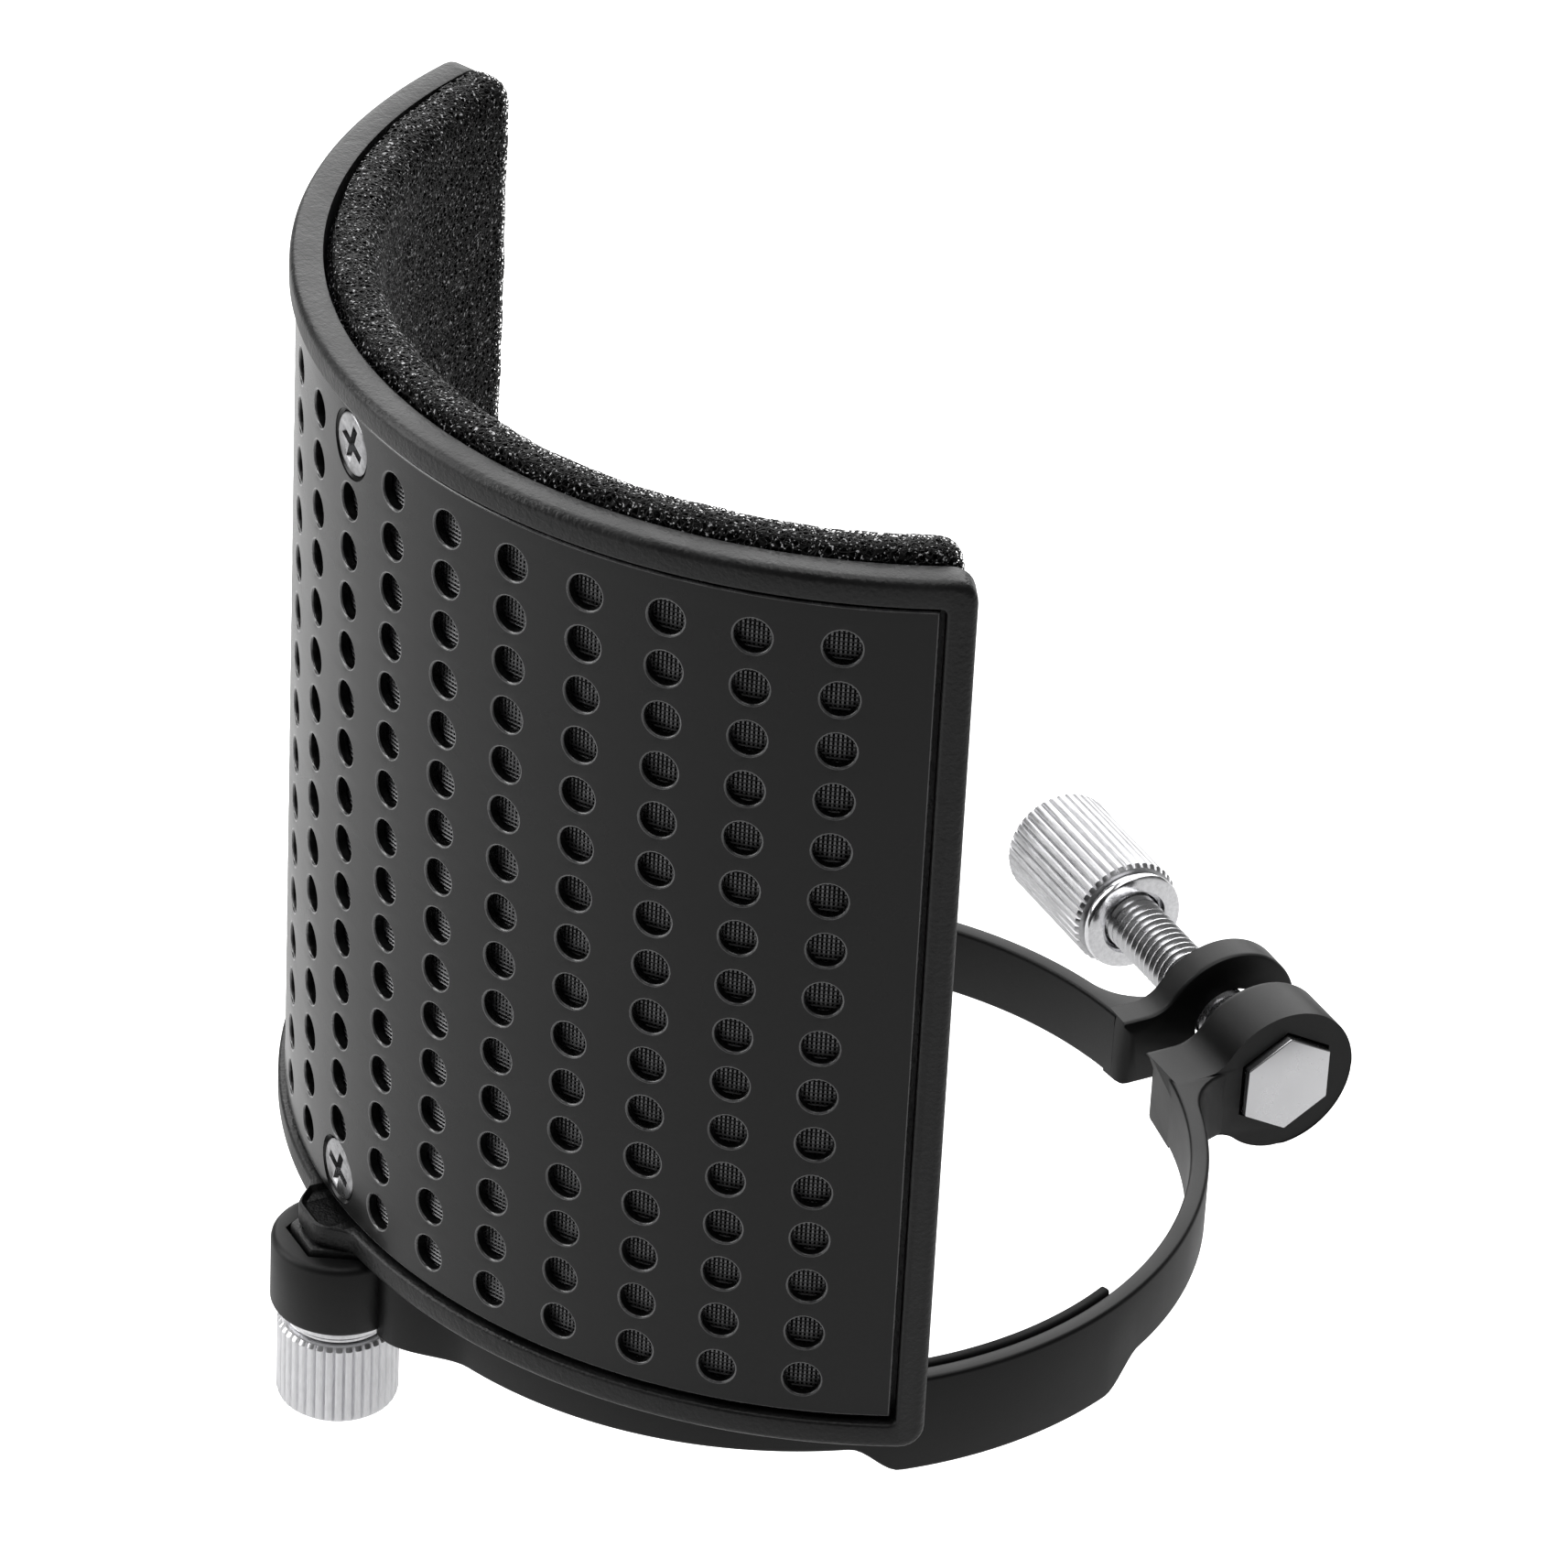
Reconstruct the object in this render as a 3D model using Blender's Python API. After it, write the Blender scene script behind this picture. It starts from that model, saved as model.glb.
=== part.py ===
"""Curved pop filter on a ring clamp, in metres, +Z up.

The origin is on the clamp ring's axis, halfway up its narrow band. The shield stands on the ring's
front (-Y) with its perforated side facing -Y, and the ring's two ears and the clamp bolt are at +Y.
Angles round the ring and round the shield are measured from -Y towards +X.
"""

import math

import bmesh
import bpy
from mathutils import Matrix, Vector

MM = 0.001

# Clearances: between pieces that touch, between the shield's thin layers, and round a running thread.
TOUCH_GAP = 0.3 * MM
LAYER_GAP = 0.2 * MM
THREAD_GAP = 0.25 * MM
# A shape that is joined to another ends this far short of its face, so no two faces coincide.
JOIN_STEP = 0.2 * MM
# A cutter runs past the faces that it cuts through by this much.
CUT_OVERRUN = 2.0 * MM
# Two points closer than this are the same point, and two angles closer than this are the same angle.
SAME_PLACE = 1e-7
SAME_ANGLE = math.radians(0.01)

# Flat sides that stand for a circle: broad ears and lug, shanks and bores, and small bosses
FINE_SIDES = 40
ROUND_SIDES = 24
SMALL_SIDES = 20
CORNER_STEPS = 3

# Clamp ring
RING_INNER_R = 34.0 * MM
RING_WALL = 1.6 * MM
BAND_HEIGHT = 6.3 * MM
FOOT_DROP = 2.55 * MM
FOOT_START = math.radians(80)
FOOT_END = math.radians(112)
FOOT_RAMP = math.radians(7)
RAMP_STEPS = 4
BAND_BEND = math.radians(7)
HINGE_ANGLE = math.radians(24)
HALF_SLOT = 2.1 * MM

# Ears at the ring's split
EAR_REACH = 8.4 * MM
EAR_R = 6.5 * MM
RIGHT_EAR_THICKNESS = 5.3 * MM
LEFT_EAR_THICKNESS = 2.7 * MM
EAR_FILLET = 5.5 * MM
FILLET_STEPS = 4

# Rubber grip pads inside the ring
PAD_THICKNESS = 0.6 * MM
PAD_MARGIN = math.radians(3)
PAD_STAND = 0.15 * MM
PAD_STEPS = 6

# Lug that carries the shield
LUG_REACH = 3.5 * MM
LUG_R = 5.55 * MM
LUG_RISE = 0.8 * MM
LUG_LIFT = 0.6 * MM
LUG_WEB_ANGLE = math.radians(20)
BASE_STEPS = 12

# M5 hardware
SCREW_R = 2.5 * MM
HEX_FLATS = 7.8 * MM
HEX_HEIGHT = 3.5 * MM
HEX_PROUD = 0.7 * MM
BOLT_LENGTH = 32.0 * MM
BOLT_HOLE_GAP = 0.7 * MM
NUT_R = 4.95 * MM
NUT_FLUTES = 38
NUT_FLUTE_DEPTH = 0.22 * MM
NUT_CHAMFER = 0.5 * MM
COLLAR_R = 4.55 * MM
COLLAR_THICKNESS = 0.9 * MM
CLAMP_NUT_LENGTH = 13.1 * MM
CLAMP_NUT_BACKED_OFF = 13.7 * MM
STUD_NUT_LENGTH = 7.75 * MM
STUD_IN_NUT = 6.0 * MM

# Shield
SHIELD_R = 48.3 * MM
SHIELD_FORWARD_OF_LUG = 0.95 * MM
SHIELD_CLEARANCE = 0.35 * MM
SHIELD_HEIGHT = 78.2 * MM
SHIELD_HALF_ANGLE = math.radians(68)
SHIELD_CORNER_R = 2.0 * MM
RIM_WIDTH = 2.3 * MM
RIM_PROUD = 0.4 * MM
LEDGE_WIDTH = 1.6 * MM
LEDGE_THICKNESS = 0.8 * MM
BOSS_R = 3.0 * MM
BOSS_DEPTH = 2.9 * MM
FOOT_BOSS_R = 3.2 * MM
FOOT_HEX_FLATS = 7.0 * MM
FOOT_HEX_DEPTH = 1.7 * MM

# Perforated grille and its screws
GRILLE_THICKNESS = 0.8 * MM
COLUMNS = 15
ROWS = 16
COLUMN_PITCH = math.radians(8.054)
ROW_PITCH = 4.4 * MM
ROWS_LOWERED = 0.25 * MM
MIN_BEND = math.radians(1)
HOLE_R = 1.47 * MM
HOLE_SIDES = 6
GRILLE_CORNER_R = 0.8 * MM
GRILLE_SCREW_FROM_EDGE = 3.2 * MM
GRILLE_SCREW_HEAD_R = 2.6 * MM
GRILLE_SCREW_R = 1.45 * MM
GRILLE_SCREW_LENGTH = 4.2 * MM
CROSS_LENGTH = 2.8 * MM
CROSS_WIDTH = 0.6 * MM
CROSS_DEPTH = 0.9 * MM

# Wire mesh and foam
MESH_THICKNESS = 0.25 * MM
MESH_EDGE_GAP = 0.5 * MM
FOAM_THICKNESS = 4.0 * MM
FOAM_END_ANGLE = math.radians(1.6)
FOAM_STAND = 0.3 * MM
FOAM_CORNER_R = 1.5 * MM
FOAM_STAND_OFF_SCREW = 2 * TOUCH_GAP

# Derived places
RING_OUTER_R = RING_INNER_R + RING_WALL
RING_MID_R = RING_INNER_R + RING_WALL / 2
BAND_TOP = BAND_HEIGHT / 2
BAND_BOTTOM = -BAND_HEIGHT / 2
FOOT_BOTTOM = BAND_BOTTOM - FOOT_DROP
EAR_Y = RING_OUTER_R + EAR_REACH
EAR_Z = FOOT_BOTTOM + EAR_R
LUG_Y = -(RING_OUTER_R + LUG_REACH)
LUG_TOP = BAND_TOP + LUG_RISE
LUG_BOTTOM = BAND_BOTTOM + LUG_LIFT
HINGE_GAP_ANGLE = TOUCH_GAP / RING_MID_R / 2
SHIELD_SET_BACK = SHIELD_R + LUG_Y - SHIELD_FORWARD_OF_LUG

SHIELD_BOTTOM = LUG_TOP + SHIELD_CLEARANCE
SHIELD_TOP = SHIELD_BOTTOM + SHIELD_HEIGHT
SHIELD_MID = (SHIELD_BOTTOM + SHIELD_TOP) / 2
HALF_PITCH = COLUMN_PITCH / 2
GRILLE_R = SHIELD_R - RIM_PROUD
GRILLE_EDGE = RIM_WIDTH + TOUCH_GAP
GRILLE_HALF_ANGLE = SHIELD_HALF_ANGLE - GRILLE_EDGE / GRILLE_R
GRILLE_BOTTOM = SHIELD_BOTTOM + GRILLE_EDGE
GRILLE_TOP = SHIELD_TOP - GRILLE_EDGE
MESH_R = GRILLE_R - GRILLE_THICKNESS - LAYER_GAP
LEDGE_R = MESH_R - MESH_THICKNESS - LAYER_GAP
FRAME_INNER_R = LEDGE_R - LEDGE_THICKNESS
FOAM_R = FRAME_INNER_R - LAYER_GAP
FACE_R = GRILLE_R * math.cos(HALF_PITCH)
SCREW_HEIGHTS = {
    "top": GRILLE_TOP - GRILLE_SCREW_FROM_EDGE,
    "bottom": GRILLE_BOTTOM + GRILLE_SCREW_FROM_EDGE,
}

COLOURS = {
    "frame_plastic": ((0.022, 0.022, 0.023), 0.55, 0.0),
    "grille_paint": ((0.018, 0.018, 0.019), 0.35, 0.0),
    "mesh_wire": ((0.03, 0.03, 0.03), 0.5, 1.0),
    "foam": ((0.012, 0.012, 0.013), 0.95, 0.0),
    "clamp_plastic": ((0.02, 0.02, 0.021), 0.5, 0.0),
    "pad_rubber": ((0.015, 0.015, 0.015), 0.85, 0.0),
    "nut_aluminium": ((0.8, 0.8, 0.79), 0.3, 1.0),
    "screw_steel": ((0.72, 0.72, 0.72), 0.2, 1.0),
}


# Small tools


def clear_scene():
    for old in list(bpy.data.objects):
        bpy.data.objects.remove(old, do_unlink=True)


def material(name):
    if name in bpy.data.materials:
        return bpy.data.materials[name]
    colour, roughness, metallic = COLOURS[name]
    made = bpy.data.materials.new(name)
    made.use_nodes = True
    shader = made.node_tree.nodes["Principled BSDF"]
    shader.inputs["Base Color"].default_value = (*colour, 1.0)
    shader.inputs["Roughness"].default_value = roughness
    shader.inputs["Metallic"].default_value = metallic
    return made


def new_object(name, bm, material_name=None, smooth_degrees=35):
    if bm.calc_volume(signed=True) < 0:
        bmesh.ops.reverse_faces(bm, faces=bm.faces)
    mesh = bpy.data.meshes.new(name)
    bm.to_mesh(mesh)
    bm.free()
    mesh.shade_smooth()
    mesh.set_sharp_from_angle(angle=math.radians(smooth_degrees))
    if material_name:
        mesh.materials.append(material(material_name))
    made = bpy.data.objects.new(name, mesh)
    bpy.context.scene.collection.objects.link(made)
    return made


def helper(name, bm):
    """A shape that only takes part in Booleans."""
    made = new_object(name, bm)
    made.hide_render = True
    made.display_type = "WIRE"
    return made


def combine(target, other, operation):
    modifier = target.modifiers.new(f"{operation.lower()} {other.name}", "BOOLEAN")
    modifier.operation = operation
    modifier.object = other
    modifier.solver = "EXACT"


def cut(target, *others):
    for other in others:
        combine(target, other, "DIFFERENCE")


def join(target, *others):
    for other in others:
        combine(target, other, "UNION")


def set_parent(child, parent):
    child.parent = parent
    child.matrix_parent_inverse = Matrix.Translation(parent.location).inverted()


def pivot(name, place):
    """An empty on a joint's axis, which carries the pieces that turn or slide there."""
    made = bpy.data.objects.new(name, None)
    made.location = place
    made.empty_display_size = 5 * MM
    bpy.context.scene.collection.objects.link(made)
    return made


def loft(sections):
    """A closed body through a row of closed outlines with equal numbers of points."""
    bm = bmesh.new()
    rings = [[bm.verts.new(point) for point in outline] for outline in sections]
    for lower, upper in zip(rings, rings[1:]):
        for i in range(len(lower)):
            j = (i + 1) % len(lower)
            bm.faces.new((lower[i], lower[j], upper[j], upper[i]))
    bm.faces.new(reversed(rings[0]))
    bm.faces.new(rings[-1])
    return bm


def cylinder(radius, start, end, segments=ROUND_SIDES):
    """A straight cylinder from one point to another."""
    start, end = Vector(start), Vector(end)
    bm = bmesh.new()
    bmesh.ops.create_cone(
        bm,
        cap_ends=True,
        segments=segments,
        radius1=radius,
        radius2=radius,
        depth=(end - start).length,
    )
    turn = (end - start).to_track_quat("Z", "Y").to_matrix().to_4x4()
    bm.transform(Matrix.Translation((start + end) / 2) @ turn)
    return bm


def hexagon_bar(flats, start, end):
    """A hexagonal bar. Along Z its flats face +Y and -Y; along X they face +Y and -Y too."""
    start, end = Vector(start), Vector(end)
    along = (end - start).normalized()
    across = Vector((0, 1, 0))
    other = along.cross(across)
    corner_r = flats / 2 / math.cos(math.pi / 6)
    outline = []
    for i in range(6):
        angle = math.tau * (i + 0.5) / 6
        outline.append(across * corner_r * math.cos(angle) + other * corner_r * math.sin(angle))
    return loft([[start + point for point in outline], [end + point for point in outline]])


def turned_along_y(profile, y_front, z):
    """A body turned about a line along Y: profile is (radius, depth behind y_front) pairs."""
    sections = []
    for radius, depth in profile:
        ring = []
        for i in range(ROUND_SIDES):
            angle = math.tau * i / ROUND_SIDES
            ring.append((radius * math.cos(angle), y_front + depth, z + radius * math.sin(angle)))
        sections.append(ring)
    return loft(sections)


# Shapes on the shield's cylinder


def on_shield(angle, radius, z):
    return Vector((radius * math.sin(angle), SHIELD_SET_BACK - radius * math.cos(angle), z))


def facet_breaks(half_angle):
    """Angles at which every curved layer bends: between the hole columns, and at its two ends."""
    between = [(column - COLUMNS / 2) * COLUMN_PITCH for column in range(COLUMNS + 1)]
    inside = [angle for angle in between if abs(angle) < half_angle - MIN_BEND]
    return [-half_angle, *inside, half_angle]


def curved_slab(inner_r, outer_r, half_angle, bottom, top):
    sections = [
        (
            on_shield(angle, inner_r, bottom),
            on_shield(angle, outer_r, bottom),
            on_shield(angle, outer_r, top),
            on_shield(angle, inner_r, top),
        )
        for angle in facet_breaks(half_angle)
    ]
    return loft(sections)


def round_corners(bm, half_angle, radius):
    """Rounds the four corners of a curved slab, as seen from its front."""
    def at_end(vert):
        angle = math.atan2(vert.co.x, SHIELD_SET_BACK - vert.co.y)
        return abs(abs(angle) - half_angle) < SAME_ANGLE

    corners = [
        edge
        for edge in bm.edges
        if at_end(edge.verts[0])
        and at_end(edge.verts[1])
        and abs(edge.verts[0].co.z - edge.verts[1].co.z) < SAME_PLACE
        and edge.is_manifold
    ]
    bmesh.ops.bevel(bm, geom=corners, offset=radius, segments=CORNER_STEPS, profile=0.5, affect="EDGES")
    return bm


# Grille


def hole_outline(column, z, radius):
    """The corners of a hole on its flat facet of the grille's outer face."""
    out = on_shield(column * COLUMN_PITCH, GRILLE_R * math.cos(HALF_PITCH), z)
    across = Vector((math.cos(column * COLUMN_PITCH), math.sin(column * COLUMN_PITCH), 0))
    points = []
    for i in range(HOLE_SIDES):
        angle = math.tau * i / HOLE_SIDES
        points.append(out + across * radius * math.cos(angle) + Vector((0, 0, radius * math.sin(angle))))
    return points


def add_holed_cell(bm, corners, rim):
    """Fills between a cell's four corners, anticlockwise from lower left, and a hexagonal hole."""
    low_left, low_right, top_right, top_left = corners
    right, up_right, up_left, left, down_left, down_right = [bm.verts.new(point) for point in rim]
    for face in (
        (low_left, low_right, down_right, down_left),
        (top_right, top_left, up_left, up_right),
        (low_right, top_right, up_right, right),
        (low_right, right, down_right),
        (top_left, low_left, left, up_left),
        (low_left, down_left, left),
    ):
        bm.faces.new(face)


def grille_sheet():
    """The grille's outer face: one flat cell for each hole, and plain margins round them."""
    bm = bmesh.new()
    angles = facet_breaks(GRILLE_HALF_ANGLE)
    middle_z = SHIELD_MID - ROWS_LOWERED
    row_edges = [middle_z + (row - ROWS / 2) * ROW_PITCH for row in range(ROWS + 1)]
    heights = [GRILLE_BOTTOM, *row_edges, GRILLE_TOP]
    grid = [[bm.verts.new(on_shield(angle, GRILLE_R, z)) for z in heights] for angle in angles]
    for i in range(len(angles) - 1):
        for j in range(len(heights) - 1):
            corners = (grid[i][j], grid[i + 1][j], grid[i + 1][j + 1], grid[i][j + 1])
            column = i - 1 - COLUMNS // 2
            is_margin = i in (0, len(angles) - 2) or j in (0, len(heights) - 2)
            takes_screw = column == 0 and j in (1, ROWS)
            if is_margin or takes_screw:
                bm.faces.new(corners)
            else:
                middle = (heights[j] + heights[j + 1]) / 2
                add_holed_cell(bm, corners, hole_outline(column, middle, HOLE_R))
    return bm


def screw_seat(z):
    """A cutter for a countersunk hole through the grille."""
    wide = GRILLE_SCREW_HEAD_R + TOUCH_GAP
    return turned_along_y(
        [
            (wide + CUT_OVERRUN, -CUT_OVERRUN),
            (wide, 0),
            (wide - GRILLE_THICKNESS, GRILLE_THICKNESS),
            (wide - GRILLE_THICKNESS, GRILLE_THICKNESS + CUT_OVERRUN),
        ],
        SHIELD_SET_BACK - FACE_R,
        z,
    )


def make_grille():
    grille = new_object("grille_plate", grille_sheet(), "grille_paint")
    shell = grille.modifiers.new("thickness", "SOLIDIFY")
    shell.thickness = GRILLE_THICKNESS
    shell.offset = -1
    shell.use_even_offset = True
    for place, z in SCREW_HEIGHTS.items():
        cut(grille, helper(f"cut_grille_screw_seat_{place}", screw_seat(z)))


def make_grille_screw(place, z):
    front = SHIELD_SET_BACK - FACE_R
    cone = GRILLE_SCREW_HEAD_R - GRILLE_SCREW_R
    screw = new_object(
        f"grille_screw_{place}",
        turned_along_y(
            [
                (GRILLE_SCREW_HEAD_R, 0),
                (GRILLE_SCREW_R, cone),
                (GRILLE_SCREW_R, GRILLE_SCREW_LENGTH),
            ],
            front,
            z,
        ),
        "screw_steel",
    )
    for name, size in (("a", (CROSS_LENGTH, CROSS_WIDTH)), ("b", (CROSS_WIDTH, CROSS_LENGTH))):
        bm = bmesh.new()
        bmesh.ops.create_cube(bm, size=1)
        bm.transform(
            Matrix.Translation((0, front, z)) @ Matrix.Diagonal((size[0], CROSS_DEPTH * 2, size[1], 1))
        )
        cut(screw, helper(f"cut_cross_{place}_{name}", bm))


# Shield frame, mesh and foam


def boss_bar(radius, z, outer_r, inner_r):
    return cylinder(
        radius,
        (0, SHIELD_SET_BACK - outer_r, z),
        (0, SHIELD_SET_BACK - inner_r, z),
        SMALL_SIDES,
    )


def make_frame():
    slab = curved_slab(FRAME_INNER_R, SHIELD_R, SHIELD_HALF_ANGLE, SHIELD_BOTTOM, SHIELD_TOP)
    frame = new_object(
        "shield_frame", round_corners(slab, SHIELD_HALF_ANGLE, SHIELD_CORNER_R), "frame_plastic"
    )
    pocket_angle = SHIELD_HALF_ANGLE - RIM_WIDTH / GRILLE_R
    window_angle = pocket_angle - LEDGE_WIDTH / GRILLE_R
    rim_low, rim_high = SHIELD_BOTTOM + RIM_WIDTH, SHIELD_TOP - RIM_WIDTH
    pocket = curved_slab(LEDGE_R, SHIELD_R + CUT_OVERRUN, pocket_angle, rim_low, rim_high)
    window = curved_slab(
        FRAME_INNER_R - CUT_OVERRUN,
        LEDGE_R + CUT_OVERRUN / 2,
        window_angle,
        rim_low + LEDGE_WIDTH,
        rim_high - LEDGE_WIDTH,
    )
    cut(frame, helper("cut_grille_pocket", pocket), helper("cut_window", window))
    boss_outer_r = LEDGE_R * math.cos(HALF_PITCH) - JOIN_STEP / 2
    for place, z in SCREW_HEIGHTS.items():
        boss = boss_bar(BOSS_R, z, boss_outer_r, boss_outer_r - BOSS_DEPTH)
        join(frame, helper(f"add_screw_boss_{place}", boss))
        hole = boss_bar(
            GRILLE_SCREW_R + THREAD_GAP, z, LEDGE_R + CUT_OVERRUN, boss_outer_r - BOSS_DEPTH - CUT_OVERRUN
        )
        cut(frame, helper(f"cut_pilot_{place}", hole))
    boss_top = SHIELD_BOTTOM + RIM_WIDTH - JOIN_STEP / 2
    foot_boss = cylinder(FOOT_BOSS_R, (0, LUG_Y, LUG_TOP - FOOT_HEX_DEPTH / 2), (0, LUG_Y, boss_top))
    foot_hex = hexagon_bar(
        FOOT_HEX_FLATS, (0, LUG_Y, LUG_TOP - FOOT_HEX_DEPTH), (0, LUG_Y, LUG_TOP)
    )
    join(frame, helper("add_foot_boss", foot_boss), helper("add_foot_hex", foot_hex))
    bore = cylinder(
        SCREW_R + THREAD_GAP / 2,
        (0, LUG_Y, LUG_TOP - FOOT_HEX_DEPTH - CUT_OVERRUN),
        (0, LUG_Y, boss_top - LEDGE_THICKNESS + TOUCH_GAP),
    )
    cut(frame, helper("cut_stud_bore", bore))


def make_wire_mesh():
    half = GRILLE_HALF_ANGLE - MESH_EDGE_GAP / MESH_R
    sheet = new_object(
        "wire_mesh",
        curved_slab(
            MESH_R - MESH_THICKNESS, MESH_R, half, GRILLE_BOTTOM + MESH_EDGE_GAP, GRILLE_TOP - MESH_EDGE_GAP
        ),
        "mesh_wire",
    )
    for place, z in SCREW_HEIGHTS.items():
        hole = boss_bar(GRILLE_SCREW_R + TOUCH_GAP, z, MESH_R + CUT_OVERRUN, MESH_R - CUT_OVERRUN)
        cut(sheet, helper(f"cut_mesh_{place}", hole))


def make_foam():
    half = SHIELD_HALF_ANGLE - FOAM_END_ANGLE
    slab = curved_slab(
        FOAM_R - FOAM_THICKNESS, FOAM_R, half, SHIELD_BOTTOM + FOAM_STAND, SHIELD_TOP + FOAM_STAND
    )
    foam = new_object("foam_pad", round_corners(slab, half, FOAM_CORNER_R), "foam")
    pocket_r = LEDGE_R * math.cos(HALF_PITCH) - BOSS_DEPTH - FOAM_STAND_OFF_SCREW
    for place, z in SCREW_HEIGHTS.items():
        pocket = boss_bar(BOSS_R + TOUCH_GAP, z, FOAM_R + CUT_OVERRUN, pocket_r)
        cut(foam, helper(f"cut_foam_boss_{place}", pocket))
    notch = cylinder(
        FOOT_BOSS_R + TOUCH_GAP,
        (0, LUG_Y, SHIELD_BOTTOM - CUT_OVERRUN),
        (0, LUG_Y, SHIELD_BOTTOM + RIM_WIDTH + TOUCH_GAP),
        SMALL_SIDES,
    )
    cut(foam, helper("cut_foam_foot", notch))


# Clamp ring


def on_ring(angle, radius, z):
    return Vector((radius * math.sin(angle), -radius * math.cos(angle), z))


def smooth_step(share):
    share = min(max(share, 0.0), 1.0)
    return share * share * (3 - 2 * share)


def band_bottom(angle):
    """The band's lower edge, which dips to a flat foot on each side of the ring."""
    rise = smooth_step((angle - FOOT_START + FOOT_RAMP) / FOOT_RAMP)
    fall = smooth_step((FOOT_END + FOOT_RAMP - angle) / FOOT_RAMP)
    return BAND_BOTTOM - FOOT_DROP * min(rise, fall)


def band_section(inner, outer, bottom):
    return (
        Vector((inner.x, inner.y, bottom)),
        Vector((outer.x, outer.y, bottom)),
        Vector((outer.x, outer.y, BAND_TOP)),
        Vector((inner.x, inner.y, BAND_TOP)),
    )


def arc_section(angle, bottom):
    return band_section(on_ring(angle, RING_INNER_R, 0), on_ring(angle, RING_OUTER_R, 0), bottom)


def arm_angles(start, end):
    """Bends at even steps, with closer ones where the lower edge ramps down and up."""
    ramps = []
    for first in (FOOT_START - FOOT_RAMP, FOOT_END):
        ramps += [first + FOOT_RAMP * i / RAMP_STEPS for i in range(RAMP_STEPS + 1)]
    count = round((end - start) / BAND_BEND)
    spread = [start + (end - start) * i / count for i in range(count)]
    kept = [angle for angle in spread if all(abs(angle - other) > BAND_BEND / 3 for other in ramps)]
    return sorted(kept + ramps) + [end]


def web_start(face_x):
    """The angle from +Y at which the band begins to widen towards the ear."""
    return math.asin((face_x + EAR_FILLET) / RING_OUTER_R)


def web_sections(face_x):
    """The band widens towards the split and runs out into the ear's root."""
    start = web_start(face_x)
    x_start = RING_OUTER_R * math.sin(start)
    y_start = RING_OUTER_R * math.cos(start)
    root_y = y_start + EAR_FILLET
    sections = []
    for i in range(1, FILLET_STEPS + 1):
        turn = i / FILLET_STEPS * math.pi / 2
        x = x_start + (face_x - x_start) * math.sin(turn)
        y = y_start + (root_y - y_start) * (1 - math.cos(turn))
        sections.append((x, y))
    sections.append((face_x - JOIN_STEP, EAR_Y))
    sections.append((HALF_SLOT + JOIN_STEP, EAR_Y))
    return [
        band_section(Vector((x, math.sqrt(RING_INNER_R**2 - x * x), 0)), Vector((x, y, 0)), BAND_BOTTOM)
        for x, y in sections
    ]


def mirrored(sections, side):
    return [[Vector((side * point.x, point.y, point.z)) for point in outline] for outline in sections]


def make_arm(name, side, ear_thickness):
    face_x = HALF_SLOT + ear_thickness
    angles = arm_angles(HINGE_ANGLE + HINGE_GAP_ANGLE, math.pi - web_start(face_x))
    band = [arc_section(angle, band_bottom(angle)) for angle in angles]
    arm = new_object(name, loft(mirrored(band + web_sections(face_x), side)), "clamp_plastic")
    ear = cylinder(
        EAR_R, (side * HALF_SLOT, EAR_Y, EAR_Z), (side * face_x, EAR_Y, EAR_Z), FINE_SIDES
    )
    join(arm, helper(f"add_{name}_ear", ear))
    hole = cylinder(
        SCREW_R + BOLT_HOLE_GAP,
        (side * (HALF_SLOT - CUT_OVERRUN), EAR_Y, EAR_Z),
        (side * (face_x + CUT_OVERRUN), EAR_Y, EAR_Z),
    )
    cut(arm, helper(f"cut_{name}_bolt_hole", hole))
    hinge = pivot(f"{name}_hinge", on_ring(side * HINGE_ANGLE, RING_MID_R, 0))
    set_parent(arm, hinge)
    return arm, hinge


def make_pad(name, side, hinge):
    start, end = FOOT_START - PAD_MARGIN, FOOT_END + PAD_MARGIN
    outer_r = RING_INNER_R - TOUCH_GAP
    sections = []
    for i in range(PAD_STEPS + 1):
        angle = start + (end - start) * i / PAD_STEPS
        inner = on_ring(angle, outer_r - PAD_THICKNESS, 0)
        outer = on_ring(angle, outer_r, 0)
        low, high = FOOT_BOTTOM + TOUCH_GAP, BAND_TOP + PAD_STAND
        sections.append(
            [Vector((p.x, p.y, z)) for p, z in ((inner, low), (outer, low), (outer, high), (inner, high))]
        )
    pad = new_object(name, loft(mirrored(sections, side)), "pad_rubber")
    set_parent(pad, hinge)


def lug_outer_radius(angle):
    """Flares the band's outer face smoothly towards the lug."""
    share = smooth_step(1 - abs(angle) / LUG_WEB_ANGLE)
    return RING_OUTER_R + LUG_REACH * share


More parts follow.
